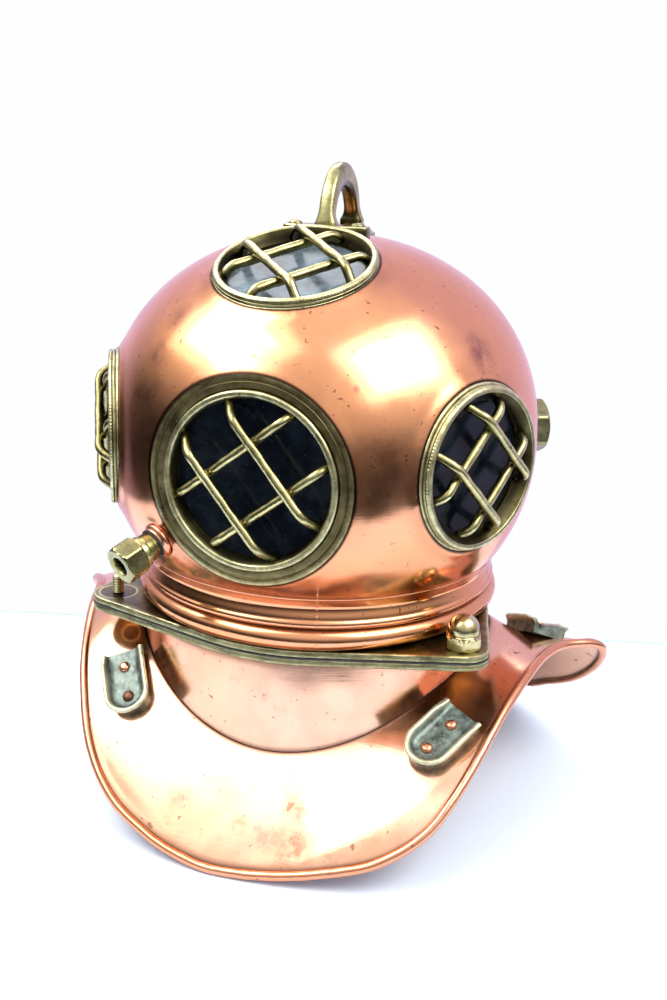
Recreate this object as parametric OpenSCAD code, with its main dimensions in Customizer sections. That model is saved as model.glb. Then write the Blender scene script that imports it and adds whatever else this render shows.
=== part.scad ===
// Three-bolt diving helmet ornament: a copper bonnet with four barred windows,
// bolted through a brass flange to a copper corselet.
// The neck axis is Z, the front window looks along -Y, and the helmet stands on Z = 0.

/* [Bonnet] */
// Radius of the dome at its widest
dome_r = 150; // [148:0.5:152]
// Height of the dome above its widest circle
dome_top = 136; // [134:0.5:138]
// Height of the dome's widest circle above the table
dome_z = 249; // [247:0.5:251]
// Thickness of the copper sheet
sheet = 2; // [1.6:0.1:2.4]

/* [Windows] */
// Outer radius of the front window's fixed ring
front_r = 67; // [66:0.5:68]
// Outer radius of the side windows' fixed rings
side_r = 54.5; // [53:0.5:55]
// Outer radius of the top window's fixed ring
top_r = 53.5; // [52.5:0.5:54]
// Angle of each side window from straight ahead
side_turn = 62.5; // [61:0.5:64]
// Slope of the top window, where 90 looks straight up
top_slope = 68.5; // [67:0.5:70]
// Radius of the guard rods
rod_r = 3; // [2.6:0.1:3.2]
// Distance of each guard rod from the middle of its window
rod_offset = 18.6; // [17:0.2:20]

/* [Flange] */
// Thickness of each of the two flange plates
plate_t = 4.6; // [4.4:0.1:4.8]
// Radius of the round middle of the flange
plate_r = 123.5; // [123:0.5:124]
// Radius of the circle that the studs stand on
stud_circle = 143.6; // [143:0.2:145]
// Radius of each stud's thread
stud_r = 4; // [3.8:0.1:4.2]

/* [Corselet] */
// How far the apron's edge reaches to the front and to the rear
reach = 179; // [177:0.5:181]
// Height of the saddle's ridge under the flange
ridge_z = 119; // [118:0.5:119]
// Radius of the rolled edge
bead_r = 3.3; // [3:0.1:3.6]
// Radius of the neck bowl where it meets the apron
seam_r = 126; // [125.5:0.5:127]
// Turn of the saddle under the neck
neck_twist = 6; // [0:1:8]

/* [Fittings] */
// Bore radius of the air inlet
inlet_bore = 6.3; // [6:0.1:6.6]
// Across-corners radius of the inlet nut
inlet_nut_r = 13.5; // [13:0.25:14]
// Across-corners radius of the rear cap
cap_r = 20; // [19:0.5:21]

/* [Hidden] */
$fn = 96;

copper = "#d98a66";
brass = "#9a8f55";
patina = "#7f8a78";
dark_glass = "#1c2026";
rubber = "#26221f";

run_fit = 0.08;                 // radial clearance of a turning fit
dome_power = 2.15;              // roundness of the dome's outline: 2 would be an ellipse
neck_top = 163;                 // height where the dome joins the neck
flange_top = 133.5;               // height of the bonnet flange's upper face
gasket_t = 1;                   // thickness of the gasket between the plates
joint_top = flange_top - plate_t;
joint_low = joint_top - gasket_t;
flange_low = joint_low - plate_t;
flange_bore = 114;
neck_bore = 118;
lobe_r = 17.6;                  // round end of each flange lobe
stud_angles = [-60, 60, 180];   // from straight ahead, anticlockwise seen from above
nut_r = 12.75;                  // across the nut's corners
nut_h = 8.8;                    // height of its hexagon
nut_dome = 10.3;                // radius of its domed cap
nut_gap = 0.05;                 // running clearance under a nut, over the flange
stud_h = 13;                    // stud length above the flange
shank_r = stud_r + 0.4;

front_seat = 134.5;             // distance of the front ring's face from the neck axis
side_seat = 141.5;
front_z = dome_z - 3;
side_z = dome_z + 3;
top_seat = [0, -61, dome_z + 118];

// ---------------------------------------------------------------- placing

// Stands local +Z along a direction: turn is from straight ahead towards +X, rise is upwards.
module facing(turn, rise) rotate([0, 0, turn]) rotate([90 - rise, 0, 0]) children();

module at_front() translate([0, -front_seat, front_z]) facing(0, 0) children();
module at_side(side)
    translate([side * side_seat * sin(side_turn), -side_seat * cos(side_turn), side_z])
        facing(side * side_turn, 0) children();
module at_top() translate(top_seat) facing(0, top_slope) children();

inlet_turn = -27.8;
inlet_rise = -20.3;
module at_inlet() translate([0, 0, dome_z]) facing(inlet_turn, inlet_rise) children();

cap_turn = 119.4;
module at_rear() translate([0, 0, dome_z]) facing(cap_turn, 0) children();

// ---------------------------------------------------------------- bonnet

// Radius of the dome at a height z from its widest circle, for a wall set in by inset.
function dome_at(z, inset) =
    (dome_r - inset) * pow(1 - pow(abs(z) / (dome_top - inset), dome_power), 1 / dome_power);

// Points of the dome's outline from its crown down to the neck.
function dome_line(inset, steps) = [
    for (i = [0:steps])
        let (low = -asin((dome_z - neck_top) / (dome_top - inset)), a = 90 + (low - 90) * i / steps,
             z = (dome_top - inset) * sin(a))
        [i == 0 ? 0 : dome_at(z, inset), dome_z + z]
];

function reversed(list) = [for (i = [len(list) - 1:-1:0]) list[i]];

module dome_solid() rotate_extrude() polygon(concat(dome_line(0, 40), [[0, neck_top]]));

module bonnet_dome() color(copper) difference() {
    rotate_extrude() polygon(concat(dome_line(0, 40), reversed(dome_line(sheet, 40))));
    at_front() cylinder(r = front_r, h = 120, center = true);
    for (side = [-1, 1]) at_side(side) cylinder(r = side_r, h = 90, center = true);
    at_top() cylinder(r = top_r, h = 60, center = true);
    at_inlet() translate([0, 0, 120]) cylinder(r = socket_r, h = 60);
    at_rear() translate([0, 0, 120]) cylinder(r = stem_r + 4, h = 60);
}

// Ring of round section, for the rolled beads of the neck.
module round_bead(r, section_r, z)
    translate([0, 0, z]) rotate_extrude() translate([r, 0]) circle(r = section_r, $fn = 32);

module bonnet_neck() color(copper) difference() {
    union() {
        rotate_extrude() polygon([
            [neck_bore - 2, flange_top], [121, flange_top], [121, flange_top + 3],
            [123, flange_top + 5], [123, neck_top - 8], [121.5, neck_top - 4],
            [120.3, neck_top - 2], [dome_at(dome_z - neck_top, 0), neck_top], [neck_bore - 2, neck_top]
        ]);
        round_bead(123, 3.9, neck_top - 7.4);
        round_bead(122.5, 5.7, flange_top + 9.5);
    }
    translate([0, 0, flange_top - 1]) cylinder(r = neck_bore, h = neck_top - flange_top + 2);
}

// ---------------------------------------------------------------- flange

module at_studs(angles) for (a = angles) rotate([0, 0, a]) translate([0, -stud_circle, 0]) children();

function from_front(angle) = [sin(angle), -cos(angle)];

// Plate outline: a circle with a lobe at each stud, joined by straight tangents.
function plate_line() =
    let (half = 90 - asin((plate_r - lobe_r) / stud_circle))
    [
        for (a = stud_angles) each concat(
            [for (t = [-1:1/8:1]) stud_circle * from_front(a) + lobe_r * from_front(a + t * half)],
            [for (t = [0:1/8:1]) plate_r * from_front(a + half + t * (120 - 2 * half))]
        )
    ];

module plate(thickness, bore, hole_r) difference() {
    linear_extrude(thickness) polygon(plate_line());
    translate([0, 0, -1]) cylinder(r = bore, h = thickness + 2);
    at_studs(stud_angles) translate([0, 0, -1]) cylinder(r = hole_r, h = thickness + 2);
}

module bonnet_flange() color(brass)
    translate([0, 0, joint_top]) plate(plate_t, flange_bore, stud_r + 1.5);

module flange_gasket() color(rubber)
    translate([0, 0, joint_low]) plate(gasket_t, flange_bore, stud_r + 1.5);

module corselet_flange() color(brass)
    translate([0, 0, flange_low]) plate(plate_t, flange_bore, shank_r);

// Each stud is set in the lower plate by a fuller shank, and its thread starts above the plates.
module flange_studs() color(brass) at_studs(stud_angles) {
    translate([0, 0, flange_low]) cylinder(r = shank_r, h = flange_top - flange_low);
    translate([0, 0, flange_top]) cylinder(r = stud_r, h = stud_h - 1);
    translate([0, 0, flange_top + stud_h - 1]) cylinder(r1 = stud_r, r2 = stud_r - 1, h = 1);
}

// Domed nut with a blind bore that clears the stud.
module acorn_nut() translate([0, 0, flange_top + nut_gap]) difference() {
    union() {
        cylinder(r = nut_r, h = nut_h, $fn = 6);
        translate([0, 0, nut_h]) cylinder(r = nut_dome, h = 3.4);
        translate([0, 0, nut_h + 3.4]) intersection() {
            sphere(r = nut_dome);
            cylinder(r = nut_dome + 1, h = nut_dome + 1);
        }
    }
    translate([0, 0, -1]) cylinder(r = stud_r + run_fit, h = stud_h + 2);
}

module acorn_nut_right() color(brass) at_studs([60]) acorn_nut();
module acorn_nut_rear() color(brass) at_studs([180]) acorn_nut();

// ---------------------------------------------------------------- windows

// Each window is [ring outer radius, thread bore, ledge radius, ring depth, bezel radius, opening,
//                 bezel height, glass radius].
front_window = [front_r, 57, 51, 17, 57, 50, 2.5, 56.6];
side_window = [side_r, 48.5, 44, 14, 52.5, 42, 5, 48];
top_window = [top_r, 48.5, 45, 14, 52, 43.5, 5, 48];

ledge_t = 4;                    // thickness of the ledge that the gasket lies on
seal_t = 1.2;
glass_t = 4;

function glass_low(w) = -w[3] + ledge_t + seal_t;

module base_ring(w) rotate_extrude() polygon([
    [w[2], -w[3]], [w[0], -w[3]], [w[0], 0], [w[1], 0], [w[1], -w[3] + ledge_t], [w[2], -w[3] + ledge_t]
]);

module window_gasket(w) translate([0, 0, -w[3] + ledge_t]) difference() {
    cylinder(r = w[7], h = seal_t);
    translate([0, 0, -1]) cylinder(r = w[2] + 1, h = seal_t + 2);
}

module window_glass(w) translate([0, 0, glass_low(w)]) cylinder(r = w[7], h = glass_t);

// Ring that holds the glass, with a bevel from its bright ridge down to the opening.
module bezel(w, fit) {
    low = glass_low(w) + glass_t;
    rotate_extrude() polygon([
        [w[5], low], [w[1] - fit, low], [w[1] - fit, 0], [w[4] - fit, 0], [w[4] - fit, w[6] - 1],
        [w[4] - fit - 1, w[6]], [w[4] - 4, w[6]], [w[4] - 5, w[6] - 1.5], [w[5], low + 2]
    ]);
}

// One guard rod along X with its two ends bent down to feet at x = -half and x = half.
// A slightly fuller knuckle covers each bend.
module guard_rod(half, height, foot) {
    turn = 50;
    leg = (height - foot) / sin(turn);
    straight = half - leg * cos(turn);
    translate([-straight, 0, height]) rotate([0, 90, 0]) cylinder(r = rod_r, h = 2 * straight, $fn = 48);
    for (end = [0, 180]) rotate([0, 0, end]) translate([straight, 0, height]) {
        sphere(r = rod_r + 0.4, $fn = 32);
        rotate([0, 90 + turn, 0]) cylinder(r = rod_r, h = leg, $fn = 48);
    }
}

// Two pairs of crossed rods; the pair that falls to the right lies on the other.
module grille(reach_r, low_z, falls, rises, foot) {
    half = sqrt(reach_r * reach_r - rod_offset * rod_offset);
    for (s = [-1, 1]) {
        rotate([0, 0, rises]) translate([0, s * rod_offset, 0]) guard_rod(half, low_z, foot);
        rotate([0, 0, falls]) translate([0, s * rod_offset, 0])
            guard_rod(half, low_z + 2 * rod_r - 0.4, foot);
    }
}

module front_base_ring() color(brass) at_front() base_ring(front_window);
module front_gasket() color(rubber) at_front() window_gasket(front_window);
module front_glass() color(dark_glass) at_front() window_glass(front_window);
module front_bezel() color(brass) at_front() bezel(front_window, run_fit);
module front_grille() color(brass) at_front() grille(50.5, 3, -51, 38, -4);

module left_base_ring() color(brass) at_side(-1) base_ring(side_window);
module left_gasket() color(rubber) at_side(-1) window_gasket(side_window);
module left_glass() color(dark_glass) at_side(-1) window_glass(side_window);
module left_bezel() color(brass) at_side(-1) bezel(side_window, 0);
module left_grille() color(brass) at_side(-1) grille(43.5, 6, -45, 45, 0);

module right_base_ring() color(brass) at_side(1) base_ring(side_window);
module right_gasket() color(rubber) at_side(1) window_gasket(side_window);
module right_glass() color(dark_glass) at_side(1) window_glass(side_window);
module right_bezel() color(brass) at_side(1) bezel(side_window, 0);
module right_grille() color(brass) at_side(1) grille(43.5, 6, -45, 45, 0);

module top_base_ring() color(brass) at_top() base_ring(top_window);
module top_gasket() color(rubber) at_top() window_gasket(top_window);
module top_glass() color("#8fa0a8") at_top() window_glass(top_window);
module top_bezel() color(brass) at_top() bezel(top_window, 0);
module top_grille() color(brass) at_top() grille(45, 4.5, -45, 45, 0);

// ---------------------------------------------------------------- handle

handle_y = 25.5;                // middle of the handle behind the neck axis
handle_half = 33;               // half the arch's length
handle_h = 40;                  // height of the arch above its front foot
handle_w = 10.5;
handle_t = 10;                  // thickness of the arch's legs
front_top = dome_z + dome_top + 4.6;
rear_top = front_top - 8;
foot_d = 15;                    // depth of each foot bar
corner = 3;                     // bevel of the foot bars' corners

// Each screw is [x, y, height of the foot's face].
screws = [
    [-22, handle_y - 28, front_top], [22, handle_y - 28, front_top],
    [-10.5, handle_y + 29, rear_top], [10.5, handle_y + 29, rear_top]
];
screw_r = 2.5;
screw_head_r = 4.6;

function arch_line(half, height, steps) =
    [for (i = [0:steps]) let (a = 180 * i / steps) [half * cos(a), height * sin(a)]];

// Bar across the handle, cut to the dome below.
module foot_bar(half, y, top) translate([0, y, top - 24]) linear_extrude(24) polygon([
    [corner - half, -foot_d / 2], [half - corner, -foot_d / 2], [half, corner - foot_d / 2],
    [half, foot_d / 2 - corner], [half - corner, foot_d / 2], [corner - half, foot_d / 2],
    [-half, foot_d / 2 - corner], [-half, corner - foot_d / 2]
]);

module lifting_handle() color(brass) difference() {
    union() {
        foot_bar(29.5, handle_y - 28, front_top);
        foot_bar(16, handle_y + 29, rear_top);
        translate([-handle_w / 2, handle_y, front_top - 0.5]) rotate([90, 0, 90]) linear_extrude(handle_w)
            polygon(concat(arch_line(handle_half, handle_h + 0.5, 40),
                           reversed(arch_line(handle_half - handle_t, 23.5, 40))));
        translate([-handle_w / 2, handle_y + handle_half - handle_t, rear_top - 1])
            cube([handle_w, handle_t, front_top - rear_top + 1]);
    }
    dome_solid();
    for (p = screws) translate([p[0], p[1], p[2] - 30]) cylinder(r = screw_r, h = 40);
}

module handle_screws() color(brass) difference() {
    for (p = screws) translate(p) {
        translate([0, 0, -20]) cylinder(r = screw_r, h = 20);
        intersection() {
            translate([0, 0, -3]) sphere(r = 5.5);
            cylinder(r = screw_head_r, h = 4);
        }
    }
    dome_solid();
}

// ---------------------------------------------------------------- fittings

fitting_root = 144;             // where the fittings start inside the dome's wall, from its centre
tube_r = 8.5;
socket_r = 11;
seal_at = 154.5;                // where the copper socket ends and the black ring lies
collar_at = 163.5;
nut_at = 167.5;
inlet_end = 182.5;              // distance of the inlet's mouth from the dome's centre
lip = 4.2;                      // gap from the tube's end to the nut's mouth
tube_end = inlet_end - lip;

module inlet_socket() color(copper) at_inlet() difference() {
    translate([0, 0, fitting_root]) union() {
        cylinder(r = socket_r, h = 7);
        translate([0, 0, 7]) cylinder(r1 = socket_r, r2 = socket_r - 1, h = seal_at - fitting_root - 7);
    }
    translate([0, 0, fitting_root - 4]) cylinder(r = tube_r, h = 30);
}

module inlet_seal_ring() color(rubber) at_inlet() translate([0, 0, seal_at]) difference() {
    cylinder(r = tube_r + 1.7, h = 1.2);
    translate([0, 0, -1]) cylinder(r = tube_r, h = 4);
}

module inlet_tube() color(brass) at_inlet() difference() {
    union() {
        translate([0, 0, fitting_root]) cylinder(r = tube_r, h = tube_end - fitting_root);
        translate([0, 0, collar_at]) cylinder(r = tube_r + 2, h = 3.6);
    }
    translate([0, 0, fitting_root - 4]) cylinder(r = inlet_bore, h = 60);
}

// Open hexagon nut that turns on the end of the tube, behind which the collar holds it.
module inlet_nut() color(brass) at_inlet() translate([0, 0, nut_at]) difference() {
    cylinder(r = inlet_nut_r, h = inlet_end - nut_at, $fn = 6);
    translate([0, 0, -1]) cylinder(r = tube_r + run_fit, h = tube_end + 0.2 - nut_at + 1);
    translate([0, 0, -1]) cylinder(r = inlet_bore, h = 30);
}

rear_root = 142;
rear_face = 151.5;              // face of the rear socket, from the neck axis
stem_r = 9;
cap_h = 11;

module rear_socket() color(brass) at_rear() difference() {
    translate([0, 0, rear_root]) cylinder(r = stem_r + 4, h = rear_face - rear_root);
    translate([0, 0, rear_root - 2]) cylinder(r = stem_r + run_fit, h = 20);
}

module rear_hex_cap() color(brass) at_rear() {
    translate([0, 0, fitting_root]) cylinder(r = stem_r, h = rear_face + 0.3 - fitting_root);
    translate([0, 0, rear_face + 0.3]) cylinder(r = cap_r, h = cap_h, $fn = 6);
    translate([0, 0, rear_face + 0.3 + cap_h]) cylinder(r1 = cap_r * 0.84, r2 = cap_r * 0.78, h = 1);
}

// ---------------------------------------------------------------- corselet

// Ramp that starts smoothly at zero, for the bends of the apron.
function ramp(t) = t <= 0 ? 0 : t * t / (t + 15);

// Height of the middle of the apron's sheet: a saddle that falls to the front and rear.
// The left shoulder droops outwards, the right one is beaten lower and flatter,
// and both curl down behind.
function apron_z(x, y) =
    let (
        turn = neck_twist * max(0, min(1, 1 - (norm([x, y]) - seam_r) / 50)),
        along = y * cos(turn) - x * sin(turn),
        rise = 1 - pow(along / reach, 2),
        t = max(0, min(1, (x - 100) / 40)),
        low = 10.5 * t * t * (3 - 2 * t) * rise * rise,
        droop = 0.36 * ramp(-x - 135),
        curl = (x > 0 ? 1.6 * ramp(x - 85) : 1.3 * ramp(-x - 105)) * ramp(y - 30) / 150
    )
    bead_r + (ridge_z - bead_r) * rise - low - droop - curl;

// Plan outline of the apron's edge, from the front centre towards +X and round.
// The sheet is beaten by hand, so its left and right sides differ a little.
rim_points = [
    [0, -reach], [36, -176.5], [70, -171], [100, -163], [124, -148], [138, -126], [147, -101],
    [154, -72], [162, -40], [170, -7], [180, 16], [194, 29], [204, 40], [201, 56], [186, 76],
    [161, 100], [140, 124], [104, 153], [60, 172], [0, reach],
    [-68, 170], [-120, 145], [-158, 118], [-182, 96], [-201, 64], [-204, 40], [-190, 18],
    [-174, -8], [-162, -40], [-148, -76], [-133, -108], [-112, -139], [-85, -160], [-52, -172],
    [-24, -177.5]
];
rim_steps = 4;

// Point at fraction t between p1 and p2 on a smooth curve through four neighbours.
function smooth(p0, p1, p2, p3, t) =
    0.5 * (2 * p1 + (p2 - p0) * t + (2 * p0 - 5 * p1 + 4 * p2 - p3) * t * t
           + (3 * p1 - 3 * p2 + p3 - p0) * t * t * t);

function wrap(list, i) = list[(i + len(list)) % len(list)];

rim = [
    for (i = [0:len(rim_points) - 1], k = [0:rim_steps - 1])
        smooth(wrap(rim_points, i - 1), wrap(rim_points, i), wrap(rim_points, i + 1),
               wrap(rim_points, i + 2), k / rim_steps)
];

function on_apron(p) = [p[0], p[1], apron_z(p[0], p[1])];

// Where the ray from the neck axis to a rim point crosses a circle.
function towards(p, r) = p * (r / norm(p));

// Closed skin over rings of points: each ring is a loop, and the last ring meets the first.
module ring_skin(rings) {
    n = len(rings[0]);
    m = len(rings);
    polyhedron(
        points = [for (ring = rings, p = ring) p],
        faces = [
            for (j = [0:m - 1], i = [0:n - 1], half = [0, 1])
                let (a = j * n + i, b = j * n + (i + 1) % n, c = ((j + 1) % m) * n + (i + 1) % n,
                     d = ((j + 1) % m) * n + i)
                half == 0 ? [a, b, c] : [a, c, d]
        ]
    );
}

apron_rows = 8;
apron_spread = [for (j = [0:apron_rows]) j / apron_rows];

function apron_row(t, lift) = [
    for (p = rim)
        let (q = towards(p, seam_r) * (1 - t) + p * t)
        [q[0], q[1], apron_z(q[0], q[1]) + lift * sheet / 2 * thicken(q)]
];

// Vertical thickness of a sloping sheet over its true thickness.
function thicken(q) =
    let (dx = apron_z(q[0] + 1, q[1]) - apron_z(q[0] - 1, q[1]),
         dy = apron_z(q[0], q[1] + 1) - apron_z(q[0], q[1] - 1))
    norm([dx / 2, dy / 2, 1]);

module corselet_apron() color(copper) ring_skin(concat(
    [for (t = apron_spread) apron_row(t, 1)],
    [for (t = reversed(apron_spread)) apron_row(t, -1)]
));

// Wired edge: a round section carried along the apron's rim.
module apron_rim_bead() color(copper) {
    path = [for (p = rim) on_apron(p)];
    sides = 10;
    rings = [
        for (k = [0:sides - 1])
            [for (i = [0:len(path) - 1])
                let (
                    ahead = wrap(path, i + 1) - wrap(path, i - 1),
                    out = [ahead[1], -ahead[0], 0] / norm([ahead[0], ahead[1]]),
                    up = cross(ahead, out) / norm(ahead) * -1,
                    a = 360 * k / sides
                )
                path[i] + bead_r * (cos(a) * out + sin(a) * up)]
    ];
    ring_skin(rings);
}

// Bowl that carries the lower plate: round at the flange, cut to the saddle below.
module corselet_neck() color(copper) ring_skin([
    [for (p = rim) let (q = towards(p, seam_r)) [q[0], q[1], apron_z(q[0], q[1]) - sheet / 2]],
    [for (p = rim) let (q = towards(p, seam_r - 2)) [q[0], q[1], 0.4 * flange_low
        + 0.6 * min(flange_low, apron_z(q[0], q[1]))]],
    [for (p = rim) let (q = towards(p, seam_r - 4)) [q[0], q[1], flange_low]],
    [for (p = rim) let (q = towards(p, seam_r - 4 - sheet)) [q[0], q[1], flange_low]],
    [for (p = rim) let (q = towards(p, seam_r - sheet)) [q[0], q[1], apron_z(q[0], q[1]) - sheet / 2]]
]);

// ---------------------------------------------------------------- brackets

bracket_w = 32;
bracket_l = 49;
bracket_h = 9.5;
wall = 4;
rivet_gap = 23;

// Each spot is [x, y, turn of the closed end].
front_right_spot = [118, -100, -28];
front_left_spot = [-98, -109, 27];
rear_right_spot = [152, 39, -142];
rear_left_spot = [-143, 40, 144];

// Stands local +Z square to the apron at a spot.
module on_sheet(spot) {
    dx = (apron_z(spot[0] + 1, spot[1]) - apron_z(spot[0] - 1, spot[1])) / 2;
    dy = (apron_z(spot[0], spot[1] + 1) - apron_z(spot[0], spot[1] - 1)) / 2;
    lean = atan(norm([dx, dy]));
    facing_turn = atan2(-dx, dy);
    translate([spot[0], spot[1], apron_z(spot[0], spot[1]) + sheet / 2])
        rotate([0, 0, facing_turn]) rotate([lean, 0, 0]) rotate([0, 0, -facing_turn])
            rotate([0, 0, spot[2]]) children();
}

module horseshoe(w, l, h) {
    translate([0, -l / 2 + w / 2, 0]) cylinder(r = w / 2, h = h);
    translate([-w / 2, -l / 2 + w / 2, 0]) cube([w, l - w / 2, h]);
}

module at_rivets() for (y = [-0.5, 0.5]) translate([0, y * rivet_gap + 1, 0]) children();

// Cast channel: a floor with a raised lip round its sides and its closed end.
module bracket(spot) color(patina) on_sheet(spot) difference() {
    horseshoe(bracket_w, bracket_l, bracket_h);
    translate([0, 1, wall]) horseshoe(bracket_w - 2 * wall, bracket_l - wall, bracket_h);
    translate([-bracket_w / 2 + wall, bracket_l / 2 - 8, wall])
        cube([bracket_w - 2 * wall, 20, bracket_h]);
    at_rivets() translate([0, 0, -1]) cylinder(r = 2, h = wall + 2);
}

module bracket_front_left() bracket(front_left_spot);
module bracket_front_right() bracket(front_right_spot);
module bracket_rear_left() bracket(rear_left_spot);
module bracket_rear_right() bracket(rear_right_spot);

module bracket_rivets() color(copper)
    for (spot = [front_left_spot, front_right_spot, rear_left_spot, rear_right_spot])
        on_sheet(spot) at_rivets() {
            translate([0, 0, -4]) cylinder(r = 2, h = wall + 4);
            intersection() {
                translate([0, 0, wall - 1.5]) sphere(r = 4.3, $fn = 32);
                translate([0, 0, wall]) cylinder(r = 5, h = 4);
            }
        }

// ---------------------------------------------------------------- assembly

bonnet_dome();
bonnet_neck();
bonnet_flange();
flange_gasket();
corselet_flange();
corselet_neck();
corselet_apron();
apron_rim_bead();
flange_studs();
acorn_nut_right();
acorn_nut_rear();
front_base_ring();
front_gasket();
front_glass();
front_bezel();
front_grille();
left_base_ring();
left_gasket();
left_glass();
left_bezel();
left_grille();
right_base_ring();
right_gasket();
right_glass();
right_bezel();
right_grille();
top_base_ring();
top_gasket();
top_glass();
top_bezel();
top_grille();
lifting_handle();
handle_screws();
inlet_socket();
inlet_seal_ring();
inlet_tube();
inlet_nut();
rear_socket();
rear_hex_cap();
bracket_front_left();
bracket_front_right();
bracket_rear_left();
bracket_rear_right();
bracket_rivets();
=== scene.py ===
from math import acos, asin, atan2, copysign, cos, degrees, exp, hypot, pi, radians, sin, sqrt, tan

import bmesh
import bpy
from mathutils import Matrix, Vector, noise


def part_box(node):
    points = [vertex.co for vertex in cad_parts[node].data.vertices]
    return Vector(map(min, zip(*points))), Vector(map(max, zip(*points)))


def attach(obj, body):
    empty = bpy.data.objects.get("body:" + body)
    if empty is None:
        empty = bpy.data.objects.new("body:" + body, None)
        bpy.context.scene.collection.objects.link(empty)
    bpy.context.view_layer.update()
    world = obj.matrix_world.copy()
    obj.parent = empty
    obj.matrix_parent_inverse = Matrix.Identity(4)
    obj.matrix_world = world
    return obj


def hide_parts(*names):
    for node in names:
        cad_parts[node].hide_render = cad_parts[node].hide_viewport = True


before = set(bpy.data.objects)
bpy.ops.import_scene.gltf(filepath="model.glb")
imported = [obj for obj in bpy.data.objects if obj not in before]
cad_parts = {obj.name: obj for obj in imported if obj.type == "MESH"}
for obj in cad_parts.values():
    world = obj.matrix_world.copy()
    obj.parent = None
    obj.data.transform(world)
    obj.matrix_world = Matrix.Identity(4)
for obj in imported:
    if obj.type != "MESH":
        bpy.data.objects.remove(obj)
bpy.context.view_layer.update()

MM = 0.001

# ---- sizes from the frame


def low_of(node):
    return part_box(node)[0] / MM


def high_of(node):
    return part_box(node)[1] / MM


DOME_R = (high_of("bonnet_dome").x - low_of("bonnet_dome").x) / 2
DOME_TOP = 136  # crown above the dome's widest circle
DOME_Z = high_of("bonnet_dome").z - DOME_TOP
DOME_POWER = 2.15  # 2 would be an ellipse
DOME_CENTRE = Vector((0, 0, DOME_Z))
NECK_TOP = low_of("bonnet_dome").z
FLANGE_TOP = high_of("bonnet_flange").z
FLANGE_JOINT = low_of("bonnet_flange").z
LOWER_TOP = high_of("corselet_flange").z
FLANGE_LOW = low_of("corselet_flange").z
SHEET = 2

STUD_CIRCLE = 143.6
STUD_R = 4
STUD_H = high_of("flange_studs").z - FLANGE_TOP
STUD_TURNS = (-60, 60, 180)  # degrees from straight ahead
PLATE_R = 123.5
LOBE_R = 17.6
FLANGE_BORE = 114
NECK_BORE = 118

SEAM_R = 126
REACH = 179
RIDGE_Z = 119
BEAD_R = 3.3
NECK_TWIST = 6

# Each window: ring outer radius, thread radius, ledge radius, ring depth, opening, glass radius.
FRONT = dict(ring=67, thread=57, ledge=51, depth=17, opening=50, glass=56.6)
SIDE = dict(ring=54.5, thread=48.5, ledge=44, depth=14, opening=42, glass=48)
TOP = dict(ring=53.5, thread=48.5, ledge=45, depth=14, opening=43.5, glass=48)
ROD_R = 3
ROD_OFFSET = 18.6
LEDGE_T = 4
SEAL_T = 1.2
GLASS_T = 4

# ---- placing


def up(height):
    """Vector straight up."""
    return Vector((0, 0, height))


def turned(angle):
    """Turn about Z in degrees."""
    return Matrix.Rotation(radians(angle), 4, "Z")


def turns(count):
    """Angles in radians that divide a full turn."""
    return [2 * pi * i / count for i in range(count)]


def polar(a, radius, height=0.0):
    """Point at an angle in radians from +X round Z."""
    return Vector((cos(a) * radius, sin(a) * radius, height))


def facing(turn, rise, origin=(0, 0, 0)):
    """Stands local +Z along a direction: turn from straight ahead towards +X, rise upwards."""
    place = Matrix.Translation(Vector(origin)) @ turned(turn)
    return place @ Matrix.Rotation(radians(90 - rise), 4, "X")


def from_front(angle):
    """Unit vector on the floor, an angle in degrees anticlockwise from straight ahead."""
    a = radians(angle)
    return Vector((sin(a), -cos(a), 0))


def at_side(side):
    """Place of a side window, left (-1) or right (1)."""
    turn = SIDE_TURN * side
    return facing(turn, 0, from_front(turn) * SIDE_REACH + up(DOME_Z + 3))


SIDE_TURN = 62.5
SIDE_REACH = 141.5  # from the neck axis to the rim of a side window
AT_FRONT = facing(0, 0, (0, -134.5, DOME_Z - 3))
AT_TOP = facing(0, 68.5, (0, -61, DOME_Z + 118))
AT_INLET = facing(-27.8, -20.3, (0, 0, DOME_Z))
AT_REAR = facing(119.4, 0, (0, 0, DOME_Z))
WINDOWS = {
    "front": (FRONT, AT_FRONT),
    "left": (SIDE, at_side(-1)),
    "right": (SIDE, at_side(1)),
    "top": (TOP, AT_TOP),
}

# Each hole in the dome: place, radius of the ring that fills it, and how far the sheet rises round it.
HOLES = [(place, window["ring"], 0.4 if window is FRONT else 1.0) for window, place in WINDOWS.values()]
HOLES += [(AT_INLET, 11, 0.8), (AT_REAR, 13, 0.8)]

# ---- mesh tools


def add_mark(mesh, key, values):
    mesh.attributes.new(key, "FLOAT", "POINT").data.foreach_set("value", values)


def put(name, data):
    thing = bpy.data.objects.new(name, data)
    bpy.context.scene.collection.objects.link(thing)
    return thing


def new_mesh(name, points, faces, sharp=None, **marks):
    """Mesh in metres with smooth shading, creases kept sharp, and optional marks at its points."""
    mesh = bpy.data.meshes.new(name)
    mesh.from_pydata([tuple(Vector(p) * MM) for p in points], [], faces)
    for key, values in marks.items():
        add_mark(mesh, key, values)
    work = bmesh.new()
    work.from_mesh(mesh)
    bmesh.ops.recalc_face_normals(work, faces=work.faces)
    work.to_mesh(mesh)
    work.free()
    mesh.polygons.foreach_set("use_smooth", [True] * len(mesh.polygons))
    if sharp is not None:
        mesh.set_sharp_from_angle(angle=radians(sharp))
    return mesh


def add_piece(name, meshes, body, material, replaced=()):
    """One object from one or more meshes, riding on a body in place of its CAD nodes."""
    work = bmesh.new()
    for mesh in meshes:
        work.from_mesh(mesh)
    mesh = bpy.data.meshes.new(name)
    work.to_mesh(mesh)
    work.free()
    for part in meshes:
        bpy.data.meshes.remove(part)
    mesh.materials.append(material)
    piece = put(name, mesh)
    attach(piece, body)
    if replaced:
        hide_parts(*replaced)
    return piece


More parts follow.
